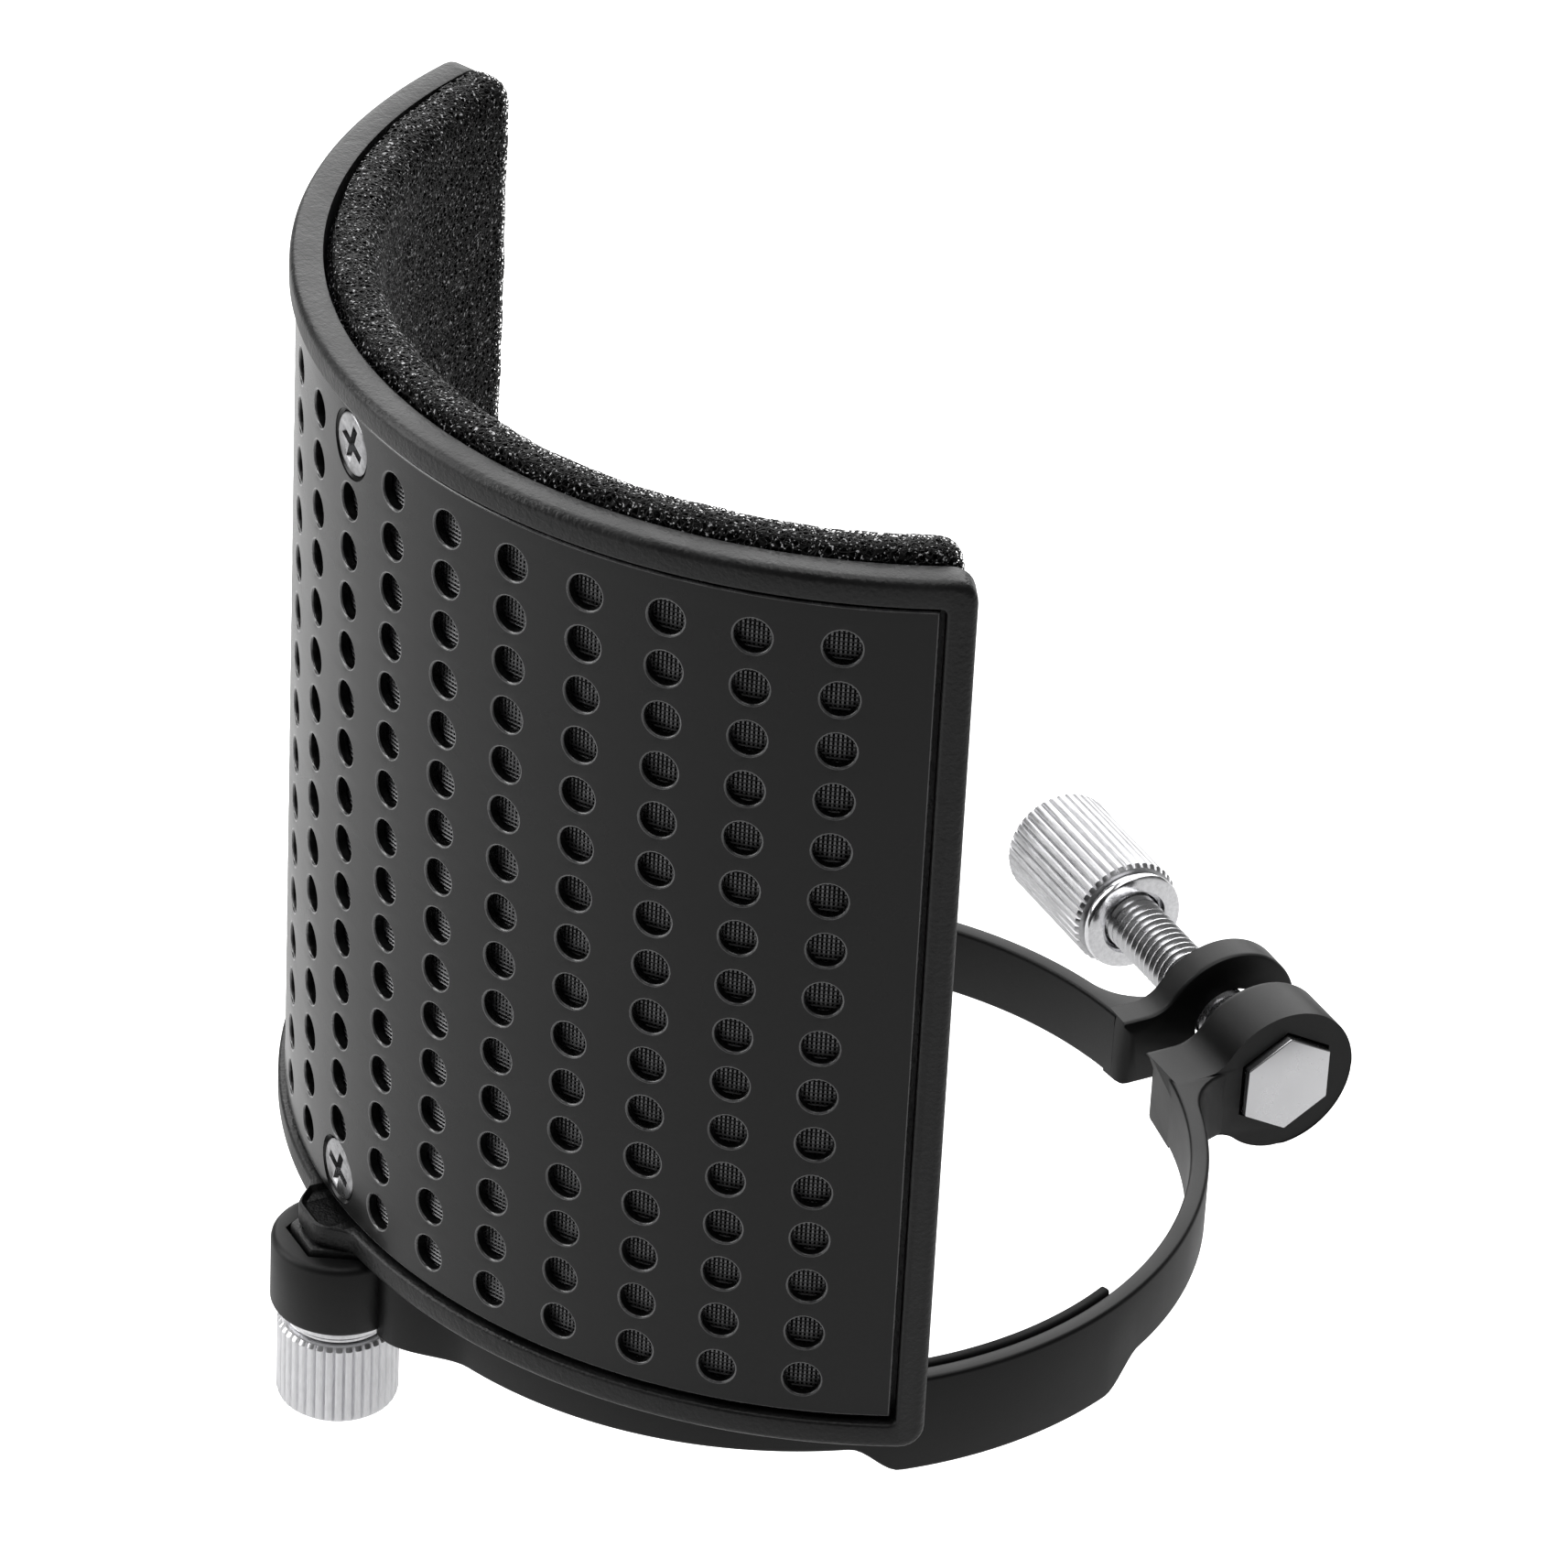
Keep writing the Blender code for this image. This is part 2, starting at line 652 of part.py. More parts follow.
def make_base():
    end = HINGE_ANGLE - HINGE_GAP_ANGLE
    sections = []
    for i in range(BASE_STEPS + 1):
        angle = -end + 2 * end * i / BASE_STEPS
        inner = on_ring(angle, RING_INNER_R, 0)
        sections.append(band_section(inner, on_ring(angle, lug_outer_radius(angle), 0), BAND_BOTTOM))
    base = new_object("clamp_base", loft(sections), "clamp_plastic")
    collar_room = cylinder(
        LUG_R - JOIN_STEP / 2,
        (0, LUG_Y, BAND_BOTTOM - CUT_OVERRUN),
        (0, LUG_Y, LUG_BOTTOM + JOIN_STEP / 2),
        FINE_SIDES,
    )
    cut(base, helper("cut_collar_room", collar_room))
    lug = helper("lug_round", cylinder(LUG_R, (0, LUG_Y, LUG_BOTTOM), (0, LUG_Y, LUG_TOP), FINE_SIDES))
    opening = cylinder(
        RING_INNER_R + JOIN_STEP,
        (0, 0, LUG_BOTTOM - CUT_OVERRUN),
        (0, 0, LUG_TOP + CUT_OVERRUN),
        FINE_SIDES * 4,
    )
    cut(lug, helper("cut_lug_to_the_ring", opening))
    join(base, lug)
    floor = LUG_TOP - FOOT_HEX_DEPTH - TOUCH_GAP
    seat = hexagon_bar(
        FOOT_HEX_FLATS + 2 * TOUCH_GAP, (0, LUG_Y, floor), (0, LUG_Y, LUG_TOP + CUT_OVERRUN)
    )
    bore = cylinder(
        SCREW_R + THREAD_GAP, (0, LUG_Y, LUG_BOTTOM - CUT_OVERRUN), (0, LUG_Y, floor + CUT_OVERRUN / 2)
    )
    cut(base, helper("cut_hex_seat", seat), helper("cut_lug_bore", bore))


# Fasteners


def make_bolt(right_arm, hinge):
    head_end = HALF_SLOT + RIGHT_EAR_THICKNESS + HEX_PROUD
    head_start = head_end - HEX_HEIGHT
    pocket = hexagon_bar(
        HEX_FLATS + 2 * TOUCH_GAP,
        (head_start - TOUCH_GAP, EAR_Y, EAR_Z),
        (head_end + CUT_OVERRUN, EAR_Y, EAR_Z),
    )
    cut(right_arm, helper("cut_hex_pocket", pocket))
    head = hexagon_bar(HEX_FLATS, (head_start, EAR_Y, EAR_Z), (head_end, EAR_Y, EAR_Z))
    bolt = new_object("clamp_bolt", head, "screw_steel")
    shank = cylinder(
        SCREW_R, (head_start - BOLT_LENGTH, EAR_Y, EAR_Z), (head_start + HEX_HEIGHT / 2, EAR_Y, EAR_Z)
    )
    join(bolt, helper("add_bolt_shank", shank))
    set_parent(bolt, hinge)


def fluted_ring(radius, depth, place, direction):
    """One outline of a nut: grooves and lands in turn round the axis."""
    turn = direction.to_track_quat("Z", "Y").to_matrix()
    ring = []
    for i in range(2 * NUT_FLUTES):
        angle = math.tau * i / (2 * NUT_FLUTES)
        r = radius - (depth if i % 2 else 0)
        ring.append(place + turn @ Vector((r * math.cos(angle), r * math.sin(angle), 0)))
    return ring


def make_nut(name, start, direction, length, parent):
    """A knurled thumb nut from its inner face outwards, bored right through."""
    start, direction = Vector(start), Vector(direction)
    profile = (
        (NUT_R - NUT_CHAMFER, 0, 0),
        (NUT_R, NUT_FLUTE_DEPTH, NUT_CHAMFER),
        (NUT_R, NUT_FLUTE_DEPTH, length - NUT_CHAMFER),
        (NUT_R - NUT_CHAMFER, 0, length),
    )
    sections = []
    for radius, depth, along in profile:
        sections.append(fluted_ring(radius, depth, start + direction * along, direction))
    nut = new_object(name, loft(sections), "nut_aluminium")
    bore = cylinder(
        SCREW_R + THREAD_GAP, start - direction * CUT_OVERRUN, start + direction * (length + CUT_OVERRUN)
    )
    cut(nut, helper(f"cut_{name}_bore", bore))
    set_parent(nut, parent)


def make_collar(name, start, direction, parent):
    start, direction = Vector(start), Vector(direction)
    collar = new_object(
        name, cylinder(COLLAR_R, start, start + direction * COLLAR_THICKNESS), "nut_aluminium"
    )
    bore = cylinder(
        SCREW_R + THREAD_GAP,
        start - direction * CUT_OVERRUN,
        start + direction * (COLLAR_THICKNESS + CUT_OVERRUN),
    )
    cut(collar, helper(f"cut_{name}_bore", bore))
    set_parent(collar, parent)


def make_nut_and_collar(prefix, start, direction, length):
    """The collar lies against what is clamped, and the nut turns behind it."""
    axis = pivot(f"{prefix}_axis", start)
    make_collar(f"{prefix}_collar", start, direction, axis)
    behind = Vector(start) + Vector(direction) * (COLLAR_THICKNESS + TOUCH_GAP)
    make_nut(prefix, behind, direction, length, axis)


def make_stud():
    collar_top = LUG_BOTTOM - TOUCH_GAP
    nut_top = collar_top - COLLAR_THICKNESS - TOUCH_GAP
    stud_top = SHIELD_BOTTOM + RIM_WIDTH - JOIN_STEP / 2 - LEDGE_THICKNESS
    new_object(
        "shield_stud",
        cylinder(SCREW_R, (0, LUG_Y, nut_top - STUD_IN_NUT), (0, LUG_Y, stud_top)),
        "screw_steel",
    )
    make_nut_and_collar("stud_nut", (0, LUG_Y, collar_top), (0, 0, -1), STUD_NUT_LENGTH)


def make_clamp():
    make_base()
    right_arm, right_hinge = make_arm("clamp_arm_right", 1, RIGHT_EAR_THICKNESS)
    left_hinge = make_arm("clamp_arm_left", -1, LEFT_EAR_THICKNESS)[1]
    make_pad("grip_pad_right", 1, right_hinge)
    make_pad("grip_pad_left", -1, left_hinge)
    make_bolt(right_arm, right_hinge)
    collar_x = -(HALF_SLOT + LEFT_EAR_THICKNESS + CLAMP_NUT_BACKED_OFF)
    make_nut_and_collar("clamp_nut", (collar_x, EAR_Y, EAR_Z), (-1, 0, 0), CLAMP_NUT_LENGTH)


def make_shield():
    make_frame()
    make_grille()
    make_wire_mesh()
    make_foam()
    for place, z in SCREW_HEIGHTS.items():
        make_grille_screw(place, z)


clear_scene()
make_clamp()
make_shield()
make_stud()
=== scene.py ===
"""Looks for the curved pop filter on its ring clamp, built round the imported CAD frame."""

import math

import bmesh
import bpy
from mathutils import Matrix, Vector, noise


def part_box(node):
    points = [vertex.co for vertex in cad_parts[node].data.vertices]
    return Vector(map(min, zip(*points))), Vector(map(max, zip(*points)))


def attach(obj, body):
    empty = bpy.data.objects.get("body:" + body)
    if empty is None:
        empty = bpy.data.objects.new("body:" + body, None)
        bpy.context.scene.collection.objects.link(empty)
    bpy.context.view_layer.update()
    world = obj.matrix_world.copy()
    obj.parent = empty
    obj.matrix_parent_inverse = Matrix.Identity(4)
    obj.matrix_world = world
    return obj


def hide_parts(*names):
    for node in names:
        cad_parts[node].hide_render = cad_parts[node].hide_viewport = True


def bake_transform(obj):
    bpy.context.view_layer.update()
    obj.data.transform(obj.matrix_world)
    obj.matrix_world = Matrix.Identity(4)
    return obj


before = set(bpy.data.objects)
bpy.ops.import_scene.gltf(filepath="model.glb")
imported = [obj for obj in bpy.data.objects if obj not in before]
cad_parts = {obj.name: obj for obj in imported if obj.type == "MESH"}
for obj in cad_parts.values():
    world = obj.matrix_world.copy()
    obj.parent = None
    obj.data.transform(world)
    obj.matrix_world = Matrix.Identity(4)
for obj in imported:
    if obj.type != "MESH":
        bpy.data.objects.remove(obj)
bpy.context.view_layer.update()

MM = 0.001

# Bodies of the frame
BASE, ARM_RIGHT, ARM_LEFT = "shield_and_base", "arm_right", "arm_left"

# Sizes shared with the CAD
SHIELD_R = 48.3 * MM
SHIELD_SET_BACK = 8.25 * MM
SHIELD_HALF_ANGLE = math.radians(68)
FRAME_DEPTH = 2.65 * MM
POCKET_DEPTH = 1.85 * MM
RIM_WIDTH = 2.3 * MM
LEDGE_WIDTH = 1.6 * MM
GRILLE_INSET = 0.55 * MM
GRILLE_EDGE_GAP = 0.15 * MM
GRILLE_THICKNESS = 0.8 * MM
COLUMNS, ROWS = 15, 16
COLUMN_PITCH = math.radians(8.054)
ROW_PITCH = 4.4 * MM
ROWS_LOWERED = 0.25 * MM
HOLE_R = 1.47 * MM
SCREW_HEAD_R = 2.5 * MM
SCREW_SHANK_R = 1.45 * MM
SCREW_FROM_EDGE = 3.2 * MM
FOAM_DEPTH = 2.85 * MM
FOAM_THICKNESS = 4.0 * MM
FOAM_END_ANGLE = math.radians(1.6)
RING_INNER_R = 34.0 * MM
RING_OUTER_R = 35.6 * MM
FOOT_DROP = 2.55 * MM
FOOT_START, FOOT_END, FOOT_RAMP = math.radians(80), math.radians(112), math.radians(7)
HALF_SLOT = 2.1 * MM
RIGHT_EAR, LEFT_EAR = 5.3 * MM, 2.7 * MM
EAR_R = 6.5 * MM
EAR_FILLET = 5.5 * MM
LUG_R = 5.55 * MM
LUG_WEB_ANGLE = math.radians(20)
BOLT_R = 2.5 * MM
THREAD_PITCH = 0.8 * MM
HEX_FLATS = 7.8 * MM
TOUCH_GAP = 0.3 * MM
NUT_R = 4.95 * MM
COLLAR_R = 4.55 * MM

# Places read from the CAD
GRILLE_LOW, GRILLE_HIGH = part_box("grille_plate")
SHIELD_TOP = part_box("shield_frame")[1].z
SHIELD_BOTTOM = GRILLE_LOW.z - (SHIELD_TOP - GRILLE_HIGH.z)
SHIELD_MID = (SHIELD_TOP + SHIELD_BOTTOM) / 2
SCREW_Z = {"top": GRILLE_HIGH.z - SCREW_FROM_EDGE, "bottom": GRILLE_LOW.z + SCREW_FROM_EDGE}
BAND_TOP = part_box("clamp_arm_left")[1].z
BAND_HALF = 3.15 * MM
EAR_Y = (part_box("clamp_nut")[0].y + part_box("clamp_nut")[1].y) / 2
EAR_Z = (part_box("clamp_nut")[0].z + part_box("clamp_nut")[1].z) / 2
LUG_Y = (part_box("stud_nut")[0].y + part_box("stud_nut")[1].y) / 2
LUG_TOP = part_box("clamp_base")[1].z
LUG_BOTTOM = -2.55 * MM


# Mesh tools


def box_mesh(low, high):
    low, high = Vector(low), Vector(high)
    bm = bmesh.new()
    bmesh.ops.create_cube(bm, size=1)
    bm.transform(Matrix.Translation((low + high) / 2) @ Matrix.Diagonal((*(high - low), 1)))
    return bm


def bevel_where(bm, chosen, offset, segments=3, slot=None):
    """Rounds the edges that chosen(edge) picks, and can give the round its own material slot."""
    edges = [edge for edge in bm.edges if chosen(edge)]
    made = bmesh.ops.bevel(
        bm, geom=edges, offset=offset, segments=segments, profile=0.5, affect="EDGES", material=-1,
        clamp_overlap=True,
    )
    if slot is not None:
        for face in made["faces"]:
            face.material_index = slot
    return bm


def is_sharp(edge, degrees=40):
    return len(edge.link_faces) == 2 and edge.calc_face_angle(0) > math.radians(degrees)


def temporary(bm, name):
    mesh = bpy.data.meshes.new(name)
    bm.to_mesh(mesh)
    bm.free()
    made = bpy.data.objects.new(name, mesh)
    bpy.context.scene.collection.objects.link(made)
    return made


def combined(bm, other, operation):
    """A new mesh: the first joined with the other, or with the other cut away."""
    work, tool = temporary(bm, "work"), temporary(other, "tool")
    modifier = work.modifiers.new("combine", "BOOLEAN")
    modifier.operation, modifier.solver, modifier.object = operation, "EXACT", tool
    evaluated = work.evaluated_get(bpy.context.evaluated_depsgraph_get())
    result = bmesh.new()
    result.from_mesh(evaluated.to_mesh())
    for used in (work, tool):
        mesh = used.data
        bpy.data.objects.remove(used)
        bpy.data.meshes.remove(mesh)
    return result


def cut_across(bm, positions, axis="x"):
    """Adds edge loops across a mesh, so that it can bend."""
    normal = Vector((1, 0, 0)) if axis == "x" else Vector((0, 0, 1))
    for position in positions:
        bmesh.ops.bisect_plane(
            bm, geom=bm.verts[:] + bm.edges[:] + bm.faces[:], plane_co=normal * position, plane_no=normal,
            dist=1e-7,
        )


def evenly(low, high, spacing):
    count = max(1, round((high - low) / spacing))
    return [low + (high - low) * i / count for i in range(1, count)]


def bend_to_shield(bm):
    """Flat shapes (x along the arc, y behind the outer face) take the shield's curve."""
    for vert in bm.verts:
        angle, radius = vert.co.x / SHIELD_R, SHIELD_R - vert.co.y
        vert.co = (
            radius * math.sin(angle),
            SHIELD_SET_BACK - radius * math.cos(angle),
            vert.co.z,
        )
    return bm


def piece(name, bm, material, body, replaces=(), sharp_degrees=40, recalculate=True):
    """A finished piece, riding on its body and standing for its CAD nodes."""
    if recalculate:
        bmesh.ops.recalc_face_normals(bm, faces=bm.faces)
    mesh = bpy.data.meshes.new(name)
    bm.to_mesh(mesh)
    bm.free()
    mesh.shade_smooth()
    mesh.set_sharp_from_angle(angle=math.radians(sharp_degrees))
    for each in material if isinstance(material, (list, tuple)) else [material]:
        mesh.materials.append(each)
    made = bpy.data.objects.new(name, mesh)
    bpy.context.scene.collection.objects.link(made)
    if body:
        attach(made, body)
    if replaces:
        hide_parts(*replaces)
    return made


def weigh_normals(made):
    """Keeps broad faces flat beside their narrow bevels."""
    modifier = made.modifiers.new("broad faces first", "WEIGHTED_NORMAL")
    modifier.keep_sharp = True
    modifier.weight = 100


def turned(profile, segments, place=(0, 0, 0), along=(0, 0, 1)):
    """A closed body turned about a line: profile is (radius, distance along the line) pairs."""
    bm = bmesh.new()
    verts = [bm.verts.new((radius, 0, z)) for radius, z in profile]
    edges = [bm.edges.new(pair) for pair in zip(verts, verts[1:])]
    if profile[0][0] > 1e-6 and profile[-1][0] > 1e-6:
        edges.append(bm.edges.new((verts[-1], verts[0])))
    bmesh.ops.spin(
        bm, geom=verts + edges, cent=(0, 0, 0), axis=(0, 0, 1), angle=math.tau, steps=segments,
        use_merge=True, use_duplicate=False,
    )
    bmesh.ops.remove_doubles(bm, verts=bm.verts, dist=1e-7)
    bmesh.ops.recalc_face_normals(bm, faces=bm.faces)
    turn = Vector(along).to_track_quat("Z", "Y").to_matrix().to_4x4()
    bm.transform(Matrix.Translation(place) @ turn)
    return bm


def hexagon(flats, depth, bevel=0.0):
    """A hexagonal bar from z = 0 up, with a corner on +X."""
    bm = bmesh.new()
    bmesh.ops.create_cone(
        bm, cap_ends=True, segments=6, radius1=flats / math.sqrt(3), radius2=flats / math.sqrt(3), depth=depth
    )
    bm.transform(Matrix.Rotation(math.pi / 6, 4, "Z") @ Matrix.Translation((0, 0, depth / 2)))
    if bevel:
        bevel_where(bm, lambda edge: True, bevel, 2)
    return bm


def smooth_step(share):
    share = min(max(share, 0.0), 1.0)
    return share * share * (3 - 2 * share)


# Material tools


def tree_link(tree, start, end):
    tree.links.new(start, end)


def add_node(tree, kind, **values):
    """A node whose properties and plain sockets are set by name."""
    node = tree.nodes.new(kind)
    for key, value in values.items():
        if hasattr(node, key):
            setattr(node, key, value)
        else:
            node.inputs[key.replace("_", " ")].default_value = value
    return node


def new_group(name, inputs, outputs):
    """An empty shader group with named sockets: {name: (kind, default)} in, {name: kind} out."""
    group = bpy.data.node_groups.new(name, "ShaderNodeTree")
    for label, (kind, default) in inputs.items():
        socket = group.interface.new_socket(name=label, in_out="INPUT", socket_type=f"NodeSocket{kind}")
        socket.default_value = default
    for label, kind in outputs.items():
        group.interface.new_socket(name=label, in_out="OUTPUT", socket_type=f"NodeSocket{kind}")
    return group, group.nodes.new("NodeGroupInput"), group.nodes.new("NodeGroupOutput")


def maths(tree, operation, a, b=None):
    node = tree.nodes.new("ShaderNodeMath")
    node.operation = operation
    for socket, value in zip(node.inputs, (a, b)):
        if value is None:
            continue
        if isinstance(value, (int, float)):
            socket.default_value = value
        else:
            tree.links.new(value, socket)
    return node.outputs[0]


def mixed_colour(tree, factor, a, b):
    node = tree.nodes.new("ShaderNodeMix")
    node.data_type = "RGBA"
    for socket, value in ((node.inputs[0], factor), (node.inputs[6], a), (node.inputs[7], b)):
        if isinstance(value, bpy.types.NodeSocket):
            tree.links.new(value, socket)
        else:
            socket.default_value = value
    return node.outputs[2]


def ranged(tree, value, low, high, to_low, to_high):
    node = tree.nodes.new("ShaderNodeMapRange")
    node.interpolation_type = "SMOOTHSTEP"
    tree.links.new(value, node.inputs["Value"])
    for name, number in zip(("From Min", "From Max", "To Min", "To Max"), (low, high, to_low, to_high)):
        if isinstance(number, bpy.types.NodeSocket):
            tree.links.new(number, node.inputs[name])
        else:
            node.inputs[name].default_value = number
    return node.outputs["Result"]


def noise_at(tree, vector, scale, detail=3.0, roughness=0.5):
    node = add_node(tree, "ShaderNodeTexNoise", Detail=detail, Roughness=roughness)
    tree.links.new(vector, node.inputs["Vector"])
    if isinstance(scale, (int, float)):
        node.inputs["Scale"].default_value = scale
    else:
        tree.links.new(scale, node.inputs["Scale"])
    return node.outputs["Fac"]


def surface_grain_group():
    """Fine spark-eroded or powder-coat grain, soft mottling of tone, and small worn spots."""
    group, given, out = new_group(
        "surface_grain",
        {
            "Grain Scale": ("Float", 9000.0),
            "Mottle Scale": ("Float", 90.0),
            "Deep": ("Color", (0.01, 0.01, 0.01, 1)),
            "Pale": ("Color", (0.03, 0.03, 0.03, 1)),
            "Gloss Side": ("Float", 0.35),
            "Matte Side": ("Float", 0.5),
        },
        {"Colour": "Color", "Roughness": "Float", "Height": "Float"},
    )
    place = group.nodes.new("ShaderNodeTexCoord").outputs["Object"]
    grain = noise_at(group, place, given.outputs["Grain Scale"], 2.0, 0.6)
    mottle = noise_at(group, place, given.outputs["Mottle Scale"], 4.0, 0.55)
    specks = noise_at(group, place, maths(group, "MULTIPLY", given.outputs["Grain Scale"], 0.21), 1.0)
    tone = ranged(group, maths(group, "ADD", maths(group, "MULTIPLY", grain, 0.35), mottle), 0.45, 0.95, 0, 1)
    colour = mixed_colour(group, tone, given.outputs["Deep"], given.outputs["Pale"])
    group.links.new(colour, out.inputs["Colour"])
    rough = ranged(group, mottle, 0.3, 0.7, given.outputs["Gloss Side"], given.outputs["Matte Side"])
    group.links.new(rough, out.inputs["Roughness"])
    height = maths(group, "ADD", grain, maths(group, "MULTIPLY", specks, 0.6))
    group.links.new(height, out.inputs["Height"])
    return group


def turned_metal_group():
    """Tool marks drawn out along or round a turned piece, with small nicks."""
    group, given, out = new_group(
        "turned_metal",
        {
            "Mark Scale": ("Vector", (300.0, 6000.0, 6000.0)),
            "Deep": ("Color", (0.6, 0.6, 0.6, 1)),
            "Pale": ("Color", (0.85, 0.85, 0.85, 1)),
            "Gloss Side": ("Float", 0.15),
            "Matte Side": ("Float", 0.35),
        },
        {"Colour": "Color", "Roughness": "Float", "Height": "Float"},
    )
    place = group.nodes.new("ShaderNodeTexCoord").outputs["Object"]
    stretch = group.nodes.new("ShaderNodeVectorMath")
    stretch.operation = "MULTIPLY"
    group.links.new(place, stretch.inputs[0])
    group.links.new(given.outputs["Mark Scale"], stretch.inputs[1])
    marks = noise_at(group, stretch.outputs[0], 1.0, 3.0, 0.6)
    nicks = noise_at(group, place, 1800.0, 2.0)
    tone = ranged(group, marks, 0.3, 0.7, 0, 1)
    group.links.new(mixed_colour(group, tone, given.outputs["Deep"], given.outputs["Pale"]), out.inputs["Colour"])
    rough = ranged(
        group, maths(group, "MULTIPLY", maths(group, "ADD", marks, nicks), 0.5), 0.3, 0.7,
        given.outputs["Gloss Side"], given.outputs["Matte Side"],
    )
    group.links.new(rough, out.inputs["Roughness"])
    group.links.new(marks, out.inputs["Height"])
    return group


def open_cell_group():
    """Reticulated foam: thin struts round open cells, in a few sizes, with pale noise spots in the colour that are
    painted glints.
    """
    group, given, out = new_group(
        "open_cells",
        {
            "Cells Per Metre": ("Float", 2300.0),
            "Strut": ("Float", 0.09),
            "Painted Glint Scale": ("Float", 3600.0),
            "Deep": ("Color", (0.004, 0.004, 0.004, 1)),
            "Pale": ("Color", (0.05, 0.05, 0.05, 1)),
        },
        {"Colour": "Color", "Struts": "Float", "Height": "Float"},
    )
    place = group.nodes.new("ShaderNodeTexCoord").outputs["Object"]
    warp = add_node(group, "ShaderNodeTexNoise", Scale=1500.0, Detail=1.0)
    group.links.new(place, warp.inputs["Vector"])
    shift = group.nodes.new("ShaderNodeVectorMath")
    shift.operation = "MULTIPLY_ADD"
    group.links.new(warp.outputs["Color"], shift.inputs[0])
    shift.inputs[1].default_value = (0.0002, 0.0002, 0.0002)
    group.links.new(place, shift.inputs[2])
    cells = group.nodes.new("ShaderNodeTexVoronoi")
    cells.feature = "DISTANCE_TO_EDGE"
    group.links.new(shift.outputs[0], cells.inputs["Vector"])
    group.links.new(given.outputs["Cells Per Metre"], cells.inputs["Scale"])
    distance = cells.outputs["Distance"]
    patchy = noise_at(group, place, 700.0, 2.0)
    width = maths(group, "MULTIPLY", given.outputs["Strut"], maths(group, "ADD", patchy, 0.5))
    struts = maths(group, "LESS_THAN", distance, width)
    group.links.new(struts, out.inputs["Struts"])
    # The Pale spots picked by this noise are painted glints: highlights of lit strut tips put into the colour.
    tone = ranged(group, noise_at(group, place, given.outputs["Painted Glint Scale"], 1.0), 0.62, 0.68, 0, 1)
    group.links.new(mixed_colour(group, tone, given.outputs["Deep"], given.outputs["Pale"]), out.inputs["Colour"])
    group.links.new(ranged(group, distance, 0.0, 0.3, 1, 0), out.inputs["Height"])
    return group


GROUPS = {}


def surface_material(name, group_name, values, plain, bump=0.2, bump_distance=0.00005, alpha=None):
    """A Principled material fed by one of the groups. plain holds the shader's own constants."""
    material = bpy.data.materials.new(name)
    material.use_nodes = True
    tree = material.node_tree
    shader = tree.nodes["Principled BSDF"]
    group = tree.nodes.new("ShaderNodeGroup")
    group.node_tree = GROUPS[group_name]
    for label, value in values.items():
        group.inputs[label].default_value = value
    for label, value in plain.items():
        shader.inputs[label].default_value = value
    tree.links.new(group.outputs["Colour"], shader.inputs["Base Color"])
    if "Roughness" in group.outputs:
        tree.links.new(group.outputs["Roughness"], shader.inputs["Roughness"])
    if alpha:
        tree.links.new(group.outputs[alpha], shader.inputs["Alpha"])
    if bump:
        bumped = add_node(tree, "ShaderNodeBump", Strength=bump, Distance=bump_distance)
        tree.links.new(group.outputs["Height"], bumped.inputs["Height"])
        tree.links.new(bumped.outputs["Normal"], shader.inputs["Normal"])
    return material


def grey(value):
    return (value, value, value * 1.02, 1)


